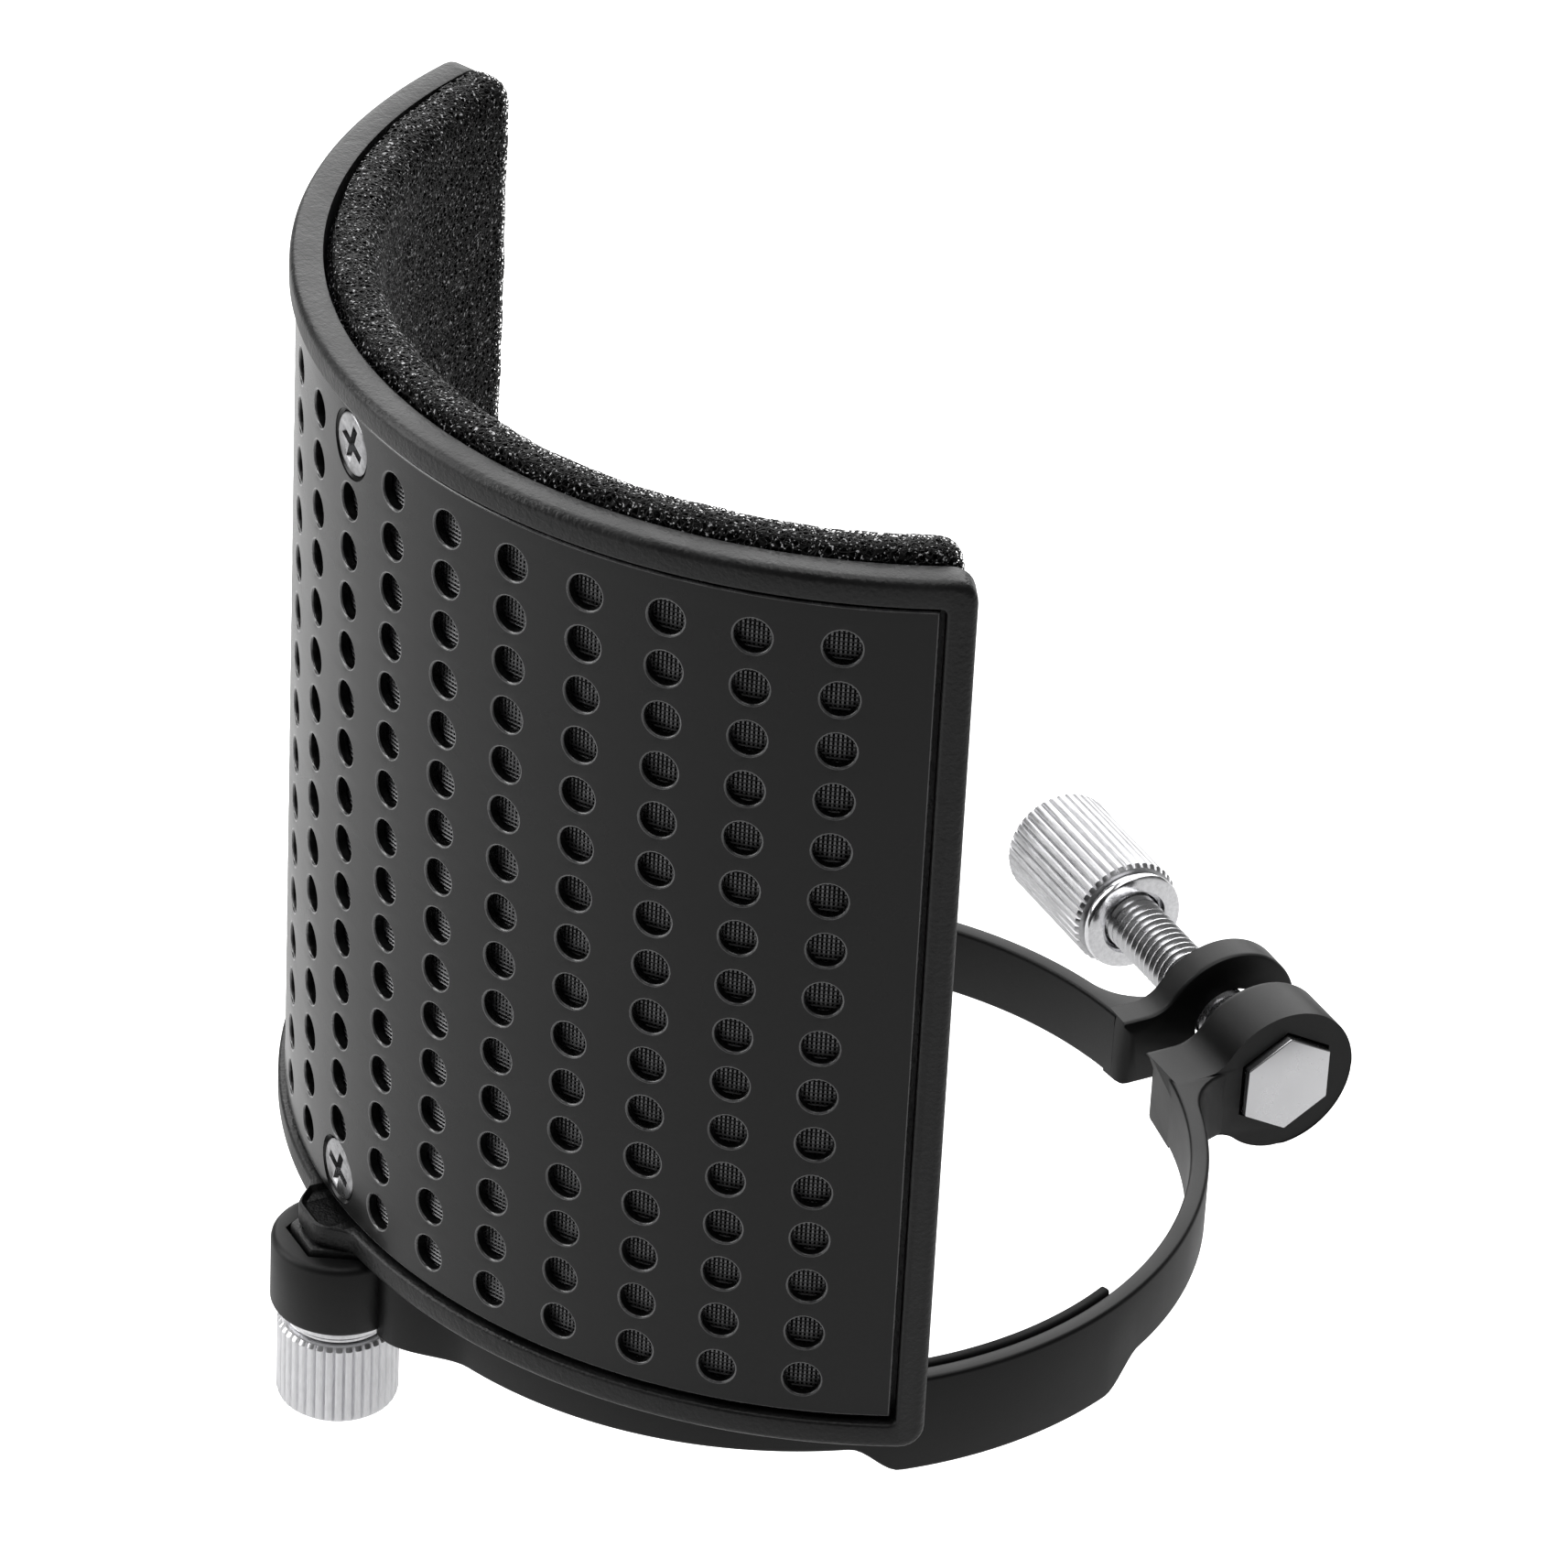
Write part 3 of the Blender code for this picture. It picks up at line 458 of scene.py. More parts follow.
def build_materials():
    GROUPS["surface_grain"] = surface_grain_group()
    GROUPS["turned_metal"] = turned_metal_group()
    GROUPS["open_cells"] = open_cell_group()
    made = {}
    made["frame"] = surface_material(
        "frame_satin_plastic", "surface_grain",
        {"Grain Scale": 2600.0, "Mottle Scale": 110.0, "Deep": grey(0.003), "Pale": grey(0.011),
         "Gloss Side": 0.34, "Matte Side": 0.46},
        {"Specular IOR Level": 0.42}, bump=0.7, bump_distance=0.0001,
    )
    made["grille"] = surface_material(
        "grille_powder_coat", "surface_grain",
        {"Grain Scale": 3500.0, "Mottle Scale": 45.0, "Deep": grey(0.003), "Pale": grey(0.006),
         "Gloss Side": 0.24, "Matte Side": 0.32},
        {"Specular IOR Level": 0.32, "Coat Weight": 0.12, "Coat Roughness": 0.14}, bump=0.12,
        bump_distance=0.00004,
    )
    # The hole rims are lighter and glossier than the face: partly a thin coat over the metal edge, partly a painted
    # highlight for the light the rounded rims catch.
    made["grille_edge"] = surface_material(
        "grille_rim_thin_coat_and_painted_highlight", "surface_grain",
        {"Grain Scale": 3500.0, "Mottle Scale": 500.0, "Deep": grey(0.05), "Pale": grey(0.13),
         "Gloss Side": 0.2, "Matte Side": 0.3},
        {"Specular IOR Level": 0.8, "Coat Weight": 0.4, "Coat Roughness": 0.12}, bump=0.1,
        bump_distance=0.00004,
    )
    made["clamp"] = surface_material(
        "clamp_satin_plastic", "surface_grain",
        {"Grain Scale": 8000.0, "Mottle Scale": 70.0, "Deep": grey(0.002), "Pale": grey(0.006),
         "Gloss Side": 0.38, "Matte Side": 0.48},
        {"Specular IOR Level": 0.32}, bump=0.2, bump_distance=0.00003,
    )
    made["rubber"] = surface_material(
        "grip_rubber", "surface_grain",
        {"Grain Scale": 5000.0, "Mottle Scale": 150.0, "Deep": grey(0.008), "Pale": grey(0.016),
         "Gloss Side": 0.7, "Matte Side": 0.9},
        {"Specular IOR Level": 0.3}, bump=0.4, bump_distance=0.00006,
    )
    made["wire"] = surface_material(
        "mesh_coated_wire", "surface_grain",
        {"Grain Scale": 12000.0, "Mottle Scale": 900.0, "Deep": grey(0.1), "Pale": grey(0.22),
         "Gloss Side": 0.3, "Matte Side": 0.45},
        {"Metallic": 0.9}, bump=0.1, bump_distance=0.00001,
    )
    # Both thumb nuts are the same aluminium; the lower nut's lighter colour (0.8 to 0.9 against 0.5 to 0.62) is painted
    # light for the stronger light it catches.
    made["nut"] = surface_material(
        "knurled_aluminium", "turned_metal",
        {"Mark Scale": (700.0, 3000.0, 3000.0), "Deep": grey(0.5), "Pale": grey(0.62),
         "Gloss Side": 0.34, "Matte Side": 0.42},
        {"Metallic": 1.0}, bump=0.03, bump_distance=0.00002,
    )
    made["lower_nut"] = surface_material(
        "knurled_aluminium_upright_painted_light", "turned_metal",
        {"Mark Scale": (3000.0, 3000.0, 700.0), "Deep": grey(0.8), "Pale": grey(0.9),
         "Gloss Side": 0.34, "Matte Side": 0.42},
        {"Metallic": 1.0}, bump=0.03, bump_distance=0.00002,
    )
    made["collar"] = surface_material(
        "polished_aluminium", "turned_metal",
        {"Mark Scale": (2600.0, 2600.0, 2600.0), "Deep": grey(0.75), "Pale": grey(0.9),
         "Gloss Side": 0.1, "Matte Side": 0.2},
        {"Metallic": 1.0}, bump=0.05, bump_distance=0.00001,
    )
    made["bolt"] = surface_material(
        "zinc_plated_steel", "turned_metal",
        {"Mark Scale": (600.0, 300.0, 300.0), "Deep": grey(0.76), "Pale": grey(0.8),
         "Gloss Side": 0.24, "Matte Side": 0.28},
        {"Metallic": 1.0}, bump=0.01, bump_distance=0.00002,
    )
    made["screw"] = surface_material(
        "screw_head_steel", "turned_metal",
        {"Mark Scale": (1500.0, 1500.0, 1500.0), "Deep": grey(0.3), "Pale": grey(0.48),
         "Gloss Side": 0.25, "Matte Side": 0.38},
        {"Metallic": 1.0}, bump=0.06, bump_distance=0.00002,
    )
    # Pale spots in both foam colours are painted glints, faint on the core (0.012) and bright on the struts (0.6).
    made["foam_core"] = surface_material(
        "foam_core", "open_cells",
        {"Cells Per Metre": 2000.0, "Strut": 0.12, "Deep": grey(0.002), "Pale": grey(0.012)},
        {"Roughness": 0.95, "Specular IOR Level": 0.1}, bump=1.0, bump_distance=0.0004,
    )
    made["foam_net"] = surface_material(
        "foam_struts_painted_glints", "open_cells",
        {"Cells Per Metre": 2000.0, "Strut": 0.13, "Deep": grey(0.003), "Pale": grey(0.6)},
        {"Roughness": 0.5, "Specular IOR Level": 0.15}, bump=0.8, bump_distance=0.0002, alpha="Struts",
    )
    return made


# Shield


def flat_x(angle):
    return angle * SHIELD_R


def make_frame(materials):
    half = flat_x(SHIELD_HALF_ANGLE)
    bm = box_mesh((-half, 0, SHIELD_BOTTOM), (half, FRAME_DEPTH, SHIELD_TOP))
    bevel_where(bm, lambda edge: abs(edge.verts[0].co.y - edge.verts[1].co.y) > FRAME_DEPTH / 2, 2 * MM, 6)
    over = 3 * MM
    pocket = box_mesh(
        (-half + RIM_WIDTH, -over, SHIELD_BOTTOM + RIM_WIDTH), (half - RIM_WIDTH, POCKET_DEPTH, SHIELD_TOP - RIM_WIDTH)
    )
    bevel_where(
        pocket, lambda edge: abs(edge.verts[0].co.y - edge.verts[1].co.y) > POCKET_DEPTH, 0.5 * MM, 3
    )
    bm = combined(bm, pocket, "DIFFERENCE")
    inner = RIM_WIDTH + LEDGE_WIDTH
    window = box_mesh(
        (-half + inner, POCKET_DEPTH / 2, SHIELD_BOTTOM + inner), (half - inner, FRAME_DEPTH + over, SHIELD_TOP - inner)
    )
    bm = combined(bm, window, "DIFFERENCE")

    def at_depth(edge, depth):
        return all(abs(vert.co.y - depth) < 1e-6 for vert in edge.verts) and is_sharp(edge)

    def at_outline(vert):
        return (
            min(half - abs(vert.co.x), SHIELD_TOP - vert.co.z, vert.co.z - SHIELD_BOTTOM) < 1.4 * MM
        )

    bevel_where(bm, lambda edge: at_depth(edge, 0) and all(at_outline(v) for v in edge.verts), 0.7 * MM, 5)
    bevel_where(bm, lambda edge: at_depth(edge, 0) and not any(at_outline(v) for v in edge.verts), 0.3 * MM, 3)
    bevel_where(
        bm, lambda edge: at_depth(edge, FRAME_DEPTH) and all(at_outline(v) for v in edge.verts), 0.2 * MM, 2
    )
    cut_across(bm, evenly(-half, half, 1.1 * MM))
    cut_across(bm, evenly(-5 * MM, 5 * MM, 0.25 * MM))
    reach = 2.1 * MM
    rim_edge = SHIELD_BOTTOM + RIM_WIDTH
    for vert in bm.verts:
        x, y, z = vert.co
        if z < rim_edge + 0.1 * MM and y < 0.9 * MM and abs(x) < 4.6 * MM:
            bulge = smooth_step((4.4 * MM - abs(x)) / (3.2 * MM))
            vert.co.y -= reach * bulge * (1 - smooth_step(y / (0.9 * MM)))
    shelf = [
        face
        for face in bm.faces
        if face.normal.z > 0.9
        and abs(face.calc_center_median().z - rim_edge) < 0.05 * MM
        and abs(face.calc_center_median().x) < 3.3 * MM
    ]
    if shelf:
        bmesh.ops.inset_region(bm, faces=shelf, thickness=0.35 * MM, depth=0, use_even_offset=True)
        for vert in {vert for face in shelf for vert in face.verts}:
            vert.co.z -= 0.5 * MM
    bend_to_shield(bm)
    bosses = (
        turned([(0, 0), (3.0 * MM, 0), (3.0 * MM, 2.5 * MM), (2.6 * MM, 2.9 * MM), (0, 2.9 * MM)], 32)
        for _ in SCREW_Z
    )
    for boss, z in zip(bosses, SCREW_Z.values()):
        place = Matrix.Translation((0, SHIELD_SET_BACK - SHIELD_R + POCKET_DEPTH + 0.1 * MM, z))
        boss.transform(place @ Matrix.Rotation(-math.pi / 2, 4, "X"))
        bm = combined(bm, boss, "UNION")
    foot = turned(
        [(0, LUG_TOP - 0.5 * MM), (2.95 * MM, LUG_TOP - 0.5 * MM), (2.95 * MM, rim_edge - 1.3 * MM),
         (0, rim_edge - 1.3 * MM)],
        40, (0, LUG_Y, 0),
    )
    bm = combined(bm, foot, "UNION")
    seat = hexagon(7.0 * MM, 2.2 * MM, 0.25 * MM)
    seat.transform(Matrix.Translation((0, LUG_Y, LUG_TOP - 1.7 * MM)))
    bm = combined(bm, seat, "UNION")
    return piece("shield_frame_moulding", bm, materials["frame"], BASE, ["shield_frame"])


def holed_cell():
    """One cell of the grille's face, flat, with a round hole at its middle."""
    bm = bmesh.new()
    sides = 6
    bmesh.ops.create_grid(bm, x_segments=sides, y_segments=sides, size=0.5)
    inner = [vert for vert in bm.verts if max(abs(vert.co.x), abs(vert.co.y)) < 0.49]
    bmesh.ops.delete(bm, geom=inner, context="VERTS")
    bmesh.ops.delete(bm, geom=bm.faces[:], context="FACES_ONLY")
    bm.transform(Matrix.Diagonal((flat_x(COLUMN_PITCH), ROW_PITCH, 1, 1)))
    bmesh.ops.create_circle(bm, cap_ends=False, segments=4 * sides, radius=HOLE_R)
    bmesh.ops.bridge_loops(bm, edges=bm.edges[:])
    bm.transform(Matrix.Rotation(math.pi / 2, 4, "X"))
    return bm


def move_boundary(bm, chosen, axis, target):
    """Extends the sheet's open edge that chosen(vert) picks to a straight line."""
    edges = [
        edge for edge in bm.edges if edge.is_boundary and all(chosen(vert) for vert in edge.verts)
    ]
    grown = bmesh.ops.extrude_edge_only(bm, edges=edges)["geom"]
    for vert in grown:
        if isinstance(vert, bmesh.types.BMVert):
            vert.co[axis] = target


def make_grille(materials):
    cell_mesh = bpy.data.meshes.new("cell")
    cell = holed_cell()
    cell.to_mesh(cell_mesh)
    cell.free()
    bm = bmesh.new()
    middle = SHIELD_MID - ROWS_LOWERED
    for column in range(COLUMNS):
        for row in range(ROWS):
            x = flat_x((column - COLUMNS // 2) * COLUMN_PITCH)
            z = middle + (row - (ROWS - 1) / 2) * ROW_PITCH
            if column == COLUMNS // 2 and row in (0, ROWS - 1):
                plain = bmesh.new()
                bmesh.ops.create_grid(plain, x_segments=6, y_segments=6, size=0.5)
                plain.transform(
                    Matrix.Translation((x, 0, z))
                    @ Matrix.Rotation(math.pi / 2, 4, "X")
                    @ Matrix.Diagonal((flat_x(COLUMN_PITCH), ROW_PITCH, 1, 1))
                )
                plain_mesh = bpy.data.meshes.new("plain_cell")
                plain.to_mesh(plain_mesh)
                plain.free()
                bm.from_mesh(plain_mesh)
                bpy.data.meshes.remove(plain_mesh)
            else:
                start = len(bm.verts)
                bm.from_mesh(cell_mesh)
                bm.verts.ensure_lookup_table()
                bmesh.ops.translate(bm, verts=bm.verts[start:], vec=(x, 0, z))
    bpy.data.meshes.remove(cell_mesh)
    bmesh.ops.remove_doubles(bm, verts=bm.verts, dist=1e-6)
    edge_x = flat_x(COLUMNS / 2 * COLUMN_PITCH)
    half = flat_x(SHIELD_HALF_ANGLE) - RIM_WIDTH - 0.3 * MM - GRILLE_EDGE_GAP
    low, high = middle - ROWS / 2 * ROW_PITCH, middle + ROWS / 2 * ROW_PITCH
    for side in (-1, 1):
        move_boundary(bm, lambda vert: abs(vert.co.x - side * edge_x) < 1e-6, 0, side * half)
    move_boundary(bm, lambda vert: abs(vert.co.z - low) < 1e-6, 2, GRILLE_LOW.z + GRILLE_EDGE_GAP)
    move_boundary(bm, lambda vert: abs(vert.co.z - high) < 1e-6, 2, GRILLE_HIGH.z - GRILLE_EDGE_GAP)
    bmesh.ops.recalc_face_normals(bm, faces=bm.faces)
    if sum(face.normal.y for face in bm.faces) > 0:
        bmesh.ops.reverse_faces(bm, faces=bm.faces)
    grown = bmesh.ops.extrude_face_region(bm, geom=bm.faces[:], use_keep_orig=True)["geom"]
    back = [vert for vert in grown if isinstance(vert, bmesh.types.BMVert)]
    bmesh.ops.translate(bm, verts=back, vec=(0, GRILLE_THICKNESS, 0))
    bmesh.ops.translate(bm, verts=bm.verts, vec=(0, GRILLE_INSET, 0))
    bmesh.ops.recalc_face_normals(bm, faces=bm.faces)
    # Slot 1 on the rounded hole rims carries the lighter rim colour, partly a painted highlight.
    bevel_where(
        bm,
        lambda edge: is_sharp(edge, 60) and all(vert.co.y < GRILLE_INSET + 1e-6 for vert in edge.verts),
        0.17 * MM, 3, slot=1,
    )
    bend_to_shield(bm)
    for z in SCREW_Z.values():
        wide = SCREW_HEAD_R + 0.36 * MM
        seat = turned(
            [(0, -1 * MM), (wide, -1 * MM), (wide, 0.15 * MM), (wide - 0.75 * MM, GRILLE_THICKNESS + 0.1 * MM),
             (wide - 0.75 * MM, 3 * MM), (0, 3 * MM)],
            48, (0, SHIELD_SET_BACK - SHIELD_R + GRILLE_INSET, z), (0, 1, 0),
        )
        bm = combined(bm, seat, "DIFFERENCE")
    grille_colours_and_rim_highlight = [materials["grille"], materials["grille_edge"]]
    sheet = piece("grille_sheet", bm, grille_colours_and_rim_highlight, BASE, ["grille_plate"])
    weigh_normals(sheet)


def make_grille_screw(materials, place, z):
    bm = turned(
        [(0, 0), (SCREW_HEAD_R - 0.15 * MM, 0), (SCREW_HEAD_R, 0.12 * MM), (SCREW_SHANK_R, 1.25 * MM),
         (SCREW_SHANK_R, 4.1 * MM), (0, 4.1 * MM)],
        48,
    )
    for turn in (0.35, 0.35 + math.pi / 2):
        slot = box_mesh((-2.2 * MM, -0.38 * MM, -1 * MM), (2.2 * MM, 0.38 * MM, 1.4 * MM))
        for vert in slot.verts:
            if vert.co.z > 0:
                vert.co.x *= 0.45
        slot.transform(Matrix.Rotation(turn, 4, "Z"))
        bm = combined(bm, slot, "DIFFERENCE")
    bevel_where(bm, lambda edge: is_sharp(edge, 50) and all(abs(v.co.z) < 1e-6 for v in edge.verts), 0.05 * MM, 1)
    bm.transform(
        Matrix.Translation((0, SHIELD_SET_BACK - SHIELD_R + GRILLE_INSET + 0.12 * MM, z))
        @ Matrix.Rotation(-math.pi / 2, 4, "X")
    )
    piece(f"cross_head_screw_{place}", bm, materials["screw"], BASE, [f"grille_screw_{place}"])


def make_wire_mesh(materials):
    """Fine woven cloth: level wires round the arc, upright wires just behind them."""
    radius = 0.085 * MM
    pitch = 0.36 * MM
    depth = 1.52 * MM
    low, high = GRILLE_LOW.z + 0.7 * MM, GRILLE_HIGH.z - 0.7 * MM
    half = flat_x(SHIELD_HALF_ANGLE) - RIM_WIDTH - 1.0 * MM
    bm = bmesh.new()
    steps = 40
    rows = int((high - low) / pitch)
    wire = bmesh.new()
    bmesh.ops.create_circle(wire, cap_ends=True, segments=4, radius=radius)
    wire.transform(
        Matrix.Translation((-half, depth, 0)) @ Matrix.Rotation(math.pi / 2, 4, "Y")
    )
    grown = wire.faces[:]
    for step in range(steps):
        made = bmesh.ops.extrude_face_region(wire, geom=grown)["geom"]
        bmesh.ops.delete(wire, geom=grown, context="FACES_ONLY") if step else None
        grown = [face for face in made if isinstance(face, bmesh.types.BMFace)]
        verts = [vert for vert in made if isinstance(vert, bmesh.types.BMVert)]
        bmesh.ops.translate(wire, verts=verts, vec=(2 * half / steps, 0, 0))
    wire_mesh = bpy.data.meshes.new("wire")
    wire.to_mesh(wire_mesh)
    wire.free()
    for row in range(rows):
        start = len(bm.verts)
        bm.from_mesh(wire_mesh)
        bm.verts.ensure_lookup_table()
        bmesh.ops.translate(bm, verts=bm.verts[start:], vec=(0, 0, low + (row + 0.5) * pitch))
    bpy.data.meshes.remove(wire_mesh)
    columns = int(2 * half / pitch)
    post = box_mesh((-radius, depth - radius * 0.2, low), (radius, depth + radius * 1.2, high))
    post_mesh = bpy.data.meshes.new("post")
    post.to_mesh(post_mesh)
    post.free()
    for column in range(columns):
        start = len(bm.verts)
        bm.from_mesh(post_mesh)
        bm.verts.ensure_lookup_table()
        bmesh.ops.translate(bm, verts=bm.verts[start:], vec=(-half + (column + 0.5) * pitch, 0, 0))
    bpy.data.meshes.remove(post_mesh)
    bend_to_shield(bm)
    piece("woven_wire_cloth", bm, materials["wire"], BASE, ["wire_mesh"], recalculate=False)


def foam_shell(outwards, spacing, wobble):
    """The liner's closed form, crowned at its edges, grown outwards a little for each strut layer."""
    half = flat_x(SHIELD_HALF_ANGLE - FOAM_END_ANGLE)
    low = Vector((-half, FOAM_DEPTH, SHIELD_BOTTOM + 0.2 * MM))
    high = Vector((half, FOAM_DEPTH + FOAM_THICKNESS - 0.25 * MM, SHIELD_TOP + 0.1 * MM))
    bm = box_mesh(low, high)
    bevel_where(
        bm, lambda edge: any(vert.co.y > FOAM_DEPTH + 1 * MM for vert in edge.verts), 1.5 * MM, 4
    )
    bevel_where(
        bm, lambda edge: is_sharp(edge, 60) and all(v.co.y < FOAM_DEPTH + 0.01 * MM for v in edge.verts),
        1.5 * MM, 4,
    )
    cut_across(bm, evenly(-half, half, spacing))
    cut_across(bm, evenly(low.z, high.z, spacing), "z")
    bmesh.ops.triangulate(bm, faces=[face for face in bm.faces if len(face.verts) > 4])
    bm.normal_update()
    for vert in bm.verts:
        if vert.co.y < FOAM_DEPTH + 0.6 * MM:
            continue
        lump = noise.noise(vert.co * 900) * 0.6 + noise.noise(vert.co * 260)
        vert.co += vert.normal * (outwards + wobble * lump)
    return bend_to_shield(bm)


def make_foam(materials):
    bm = foam_shell(0, 0.9 * MM, 0.10 * MM)
    core_faces = len(bm.faces)
    for outwards in (0.18 * MM, 0.38 * MM, 0.62 * MM):
        shell = foam_shell(outwards, 0.9 * MM, 0.14 * MM)
        shell_mesh = bpy.data.meshes.new("shell")
        shell.to_mesh(shell_mesh)
        shell.free()
        bm.from_mesh(shell_mesh)
        bpy.data.meshes.remove(shell_mesh)
    bm.faces.ensure_lookup_table()
    for face in bm.faces[core_faces:]:
        face.material_index = 1
    slots = [materials["foam_core"], materials["foam_net"]]
    foam = piece("foam_liner", bm, slots, BASE, ["foam_pad"], sharp_degrees=180)


# Clamp


def foot_dip(angle):
    rise = smooth_step((angle - FOOT_START + FOOT_RAMP) / FOOT_RAMP)
    fall = smooth_step((FOOT_END + FOOT_RAMP - angle) / FOOT_RAMP)
    return FOOT_DROP * min(rise, fall)


def band_arc(start, end, steps, outer_radius, corner=0.35 * MM, end_drop=0.0):
    """The ring's band between two angles, with rounded edges and its dip to a foot."""
    bm = bmesh.new()
    bmesh.ops.create_grid(bm, x_segments=1, y_segments=1, size=0.5)
    wall = RING_OUTER_R - RING_INNER_R
    bm.transform(
        Matrix.Rotation(start, 4, "Z")
        @ Matrix.Translation((0, -(RING_INNER_R + wall / 2), 0))
        @ Matrix.Rotation(math.pi / 2, 4, "Y")
        @ Matrix.Diagonal((2 * BAND_HALF, wall, 1, 1))
    )
    bmesh.ops.bevel(
        bm, geom=bm.verts[:], offset=corner, segments=3, profile=0.5, affect="VERTICES", material=-1
    )
    bmesh.ops.delete(bm, geom=bm.faces[:], context="FACES_ONLY")
    bmesh.ops.spin(
        bm, geom=bm.verts[:] + bm.edges[:], cent=(0, 0, 0), axis=(0, 0, 1), angle=end - start, steps=steps,
        use_merge=False, use_duplicate=False,
    )
    bmesh.ops.holes_fill(bm, edges=[edge for edge in bm.edges if edge.is_boundary], sides=0)
    bmesh.ops.recalc_face_normals(bm, faces=bm.faces)
    for vert in bm.verts:
        angle, radius = math.atan2(vert.co.x, -vert.co.y), math.hypot(vert.co.x, vert.co.y)
        z = vert.co.z
        if z < 0:
            z -= foot_dip(abs(angle))
        if radius > RING_INNER_R + wall / 2:
            radius += outer_radius(abs(angle)) - RING_OUTER_R
        if end_drop and abs(angle) > math.radians(168):
            z *= 1 - end_drop
        vert.co = (radius * math.sin(angle), -radius * math.cos(angle), z)
    return bm


def lug_flare(angle):
    return RING_OUTER_R + 3.0 * MM * smooth_step((LUG_WEB_ANGLE - angle) / math.radians(11))


def ear_flare(face_x):
    """Outer radius near the split: a fillet, tangent to the ring and to the ear's outer face."""
    centre = Vector((face_x + EAR_FILLET, math.sqrt((RING_OUTER_R + EAR_FILLET) ** 2 - (face_x + EAR_FILLET) ** 2)))
    meets = math.pi - math.atan2(centre.x, centre.y)

    def radius_at(angle):
        if angle <= meets:
            return RING_OUTER_R
        ray = Vector((math.sin(math.pi - angle), math.cos(math.pi - angle)))
        along = ray.dot(centre)
        inside = EAR_FILLET**2 - (centre.length_squared - along**2)
        if inside > 0:
            return along - math.sqrt(inside)
        return centre.y / ray.y
    return radius_at, math.pi - math.atan2(face_x, centre.y)


def ear_plate(face_x, edge):
    """The ear seen along X: a round end with concave shoulders running into the band."""
    bm = bmesh.new()
    count = 96
    bmesh.ops.create_circle(bm, cap_ends=True, segments=count, radius=EAR_R)
    bm.transform(Matrix.Translation((EAR_Y, EAR_Z, 0)))
    shoulder_r = 3.0 * MM

    def shoulder(level, sign):
        """Where a fillet of shoulder_r touches the band's edge and the round end."""
        centre_z = level + sign * shoulder_r
        rise = centre_z - EAR_Z
        centre_y = EAR_Y - math.sqrt((EAR_R + shoulder_r) ** 2 - rise**2)
        return Vector((centre_y, centre_z))

    upper, lower = shoulder(BAND_HALF, 1), shoulder(-BAND_HALF, -1)
    middle = Vector((EAR_Y, EAR_Z))
    root = math.sqrt(RING_INNER_R**2 - face_x**2) - 0.3 * MM
    angles = {}
    for name, centre in (("upper", upper), ("lower", lower)):
        away = centre - middle
        angles[name] = math.atan2(away.y, away.x) % math.tau
    span = angles["lower"] - angles["upper"]
    replaced = []
    for vert in bm.verts:
        angle = math.atan2(vert.co.y - EAR_Z, vert.co.x - EAR_Y) % math.tau
        if angles["upper"] < angle < angles["lower"]:
            replaced.append(((angle - angles["upper"]) / span, vert))
    def on_outline(share):
        """From the upper shoulder, along the band's top to its root, and back below."""
        if share < 0.35:
            turn = share / 0.35
            start = math.atan2(middle.y - upper.y, middle.x - upper.x)
            angle = start + (-math.pi / 2 - start) * turn
            return upper + shoulder_r * Vector((math.cos(angle), math.sin(angle)))
        if share > 0.65:
            turn = (1 - share) / 0.35
            start = math.atan2(middle.y - lower.y, middle.x - lower.x)
            angle = start + (math.pi / 2 - start) * turn
            return lower + shoulder_r * Vector((math.cos(angle), math.sin(angle)))
        step = (share - 0.35) / 0.3
        if step < 0.3:
            return Vector((upper.x + (root - upper.x) * step / 0.3, BAND_HALF))
        if step > 0.7:
            return Vector((lower.x + (root - lower.x) * (1 - step) / 0.3, -BAND_HALF))
        return Vector((root, BAND_HALF * (1 - 2 * (step - 0.3) / 0.4)))

    for share, vert in replaced:
        place = on_outline(share)
        vert.co.x, vert.co.y = place.x, place.y
    thick = face_x - HALF_SLOT
    grown = bmesh.ops.extrude_face_region(bm, geom=bm.faces[:], use_keep_orig=True)["geom"]
    bmesh.ops.translate(
        bm, verts=[vert for vert in grown if isinstance(vert, bmesh.types.BMVert)], vec=(0, 0, thick)
    )
    bmesh.ops.recalc_face_normals(bm, faces=bm.faces)
    bm.transform(Matrix.Translation((HALF_SLOT, 0, 0)) @ Matrix(((0, 0, 1, 0), (1, 0, 0, 0), (0, 1, 0, 0), (0, 0, 0, 1))))
    bevel_where(
        bm,
        lambda edge: is_sharp(edge, 60)
        and all(abs(v.co.x - face_x) < 1e-6 for v in edge.verts)
        and max(v.co.y for v in edge.verts) > 37 * MM,
        edge, 4,
    )
    bevel_where(
        bm,
        lambda edge: is_sharp(edge, 60)
        and all(abs(v.co.x - HALF_SLOT) < 1e-6 for v in edge.verts)
        and max(v.co.y for v in edge.verts) > 34 * MM,
        0.3 * MM, 2,
    )
    corner_r = 1.0 * MM
    cut_across(bm, [HALF_SLOT + corner_r * share for share in (0.05, 0.2, 0.5, 1.0)])
    for vert in bm.verts:
        if vert.co.y < root + 0.05 * MM:
            inward = min(corner_r, max(0.0, corner_r - (vert.co.x - HALF_SLOT)))
            rounding = corner_r - math.sqrt(corner_r**2 - inward**2)
            vert.co.y = math.sqrt(RING_INNER_R**2 - vert.co.x**2) + 0.02 * MM + rounding
    return bm


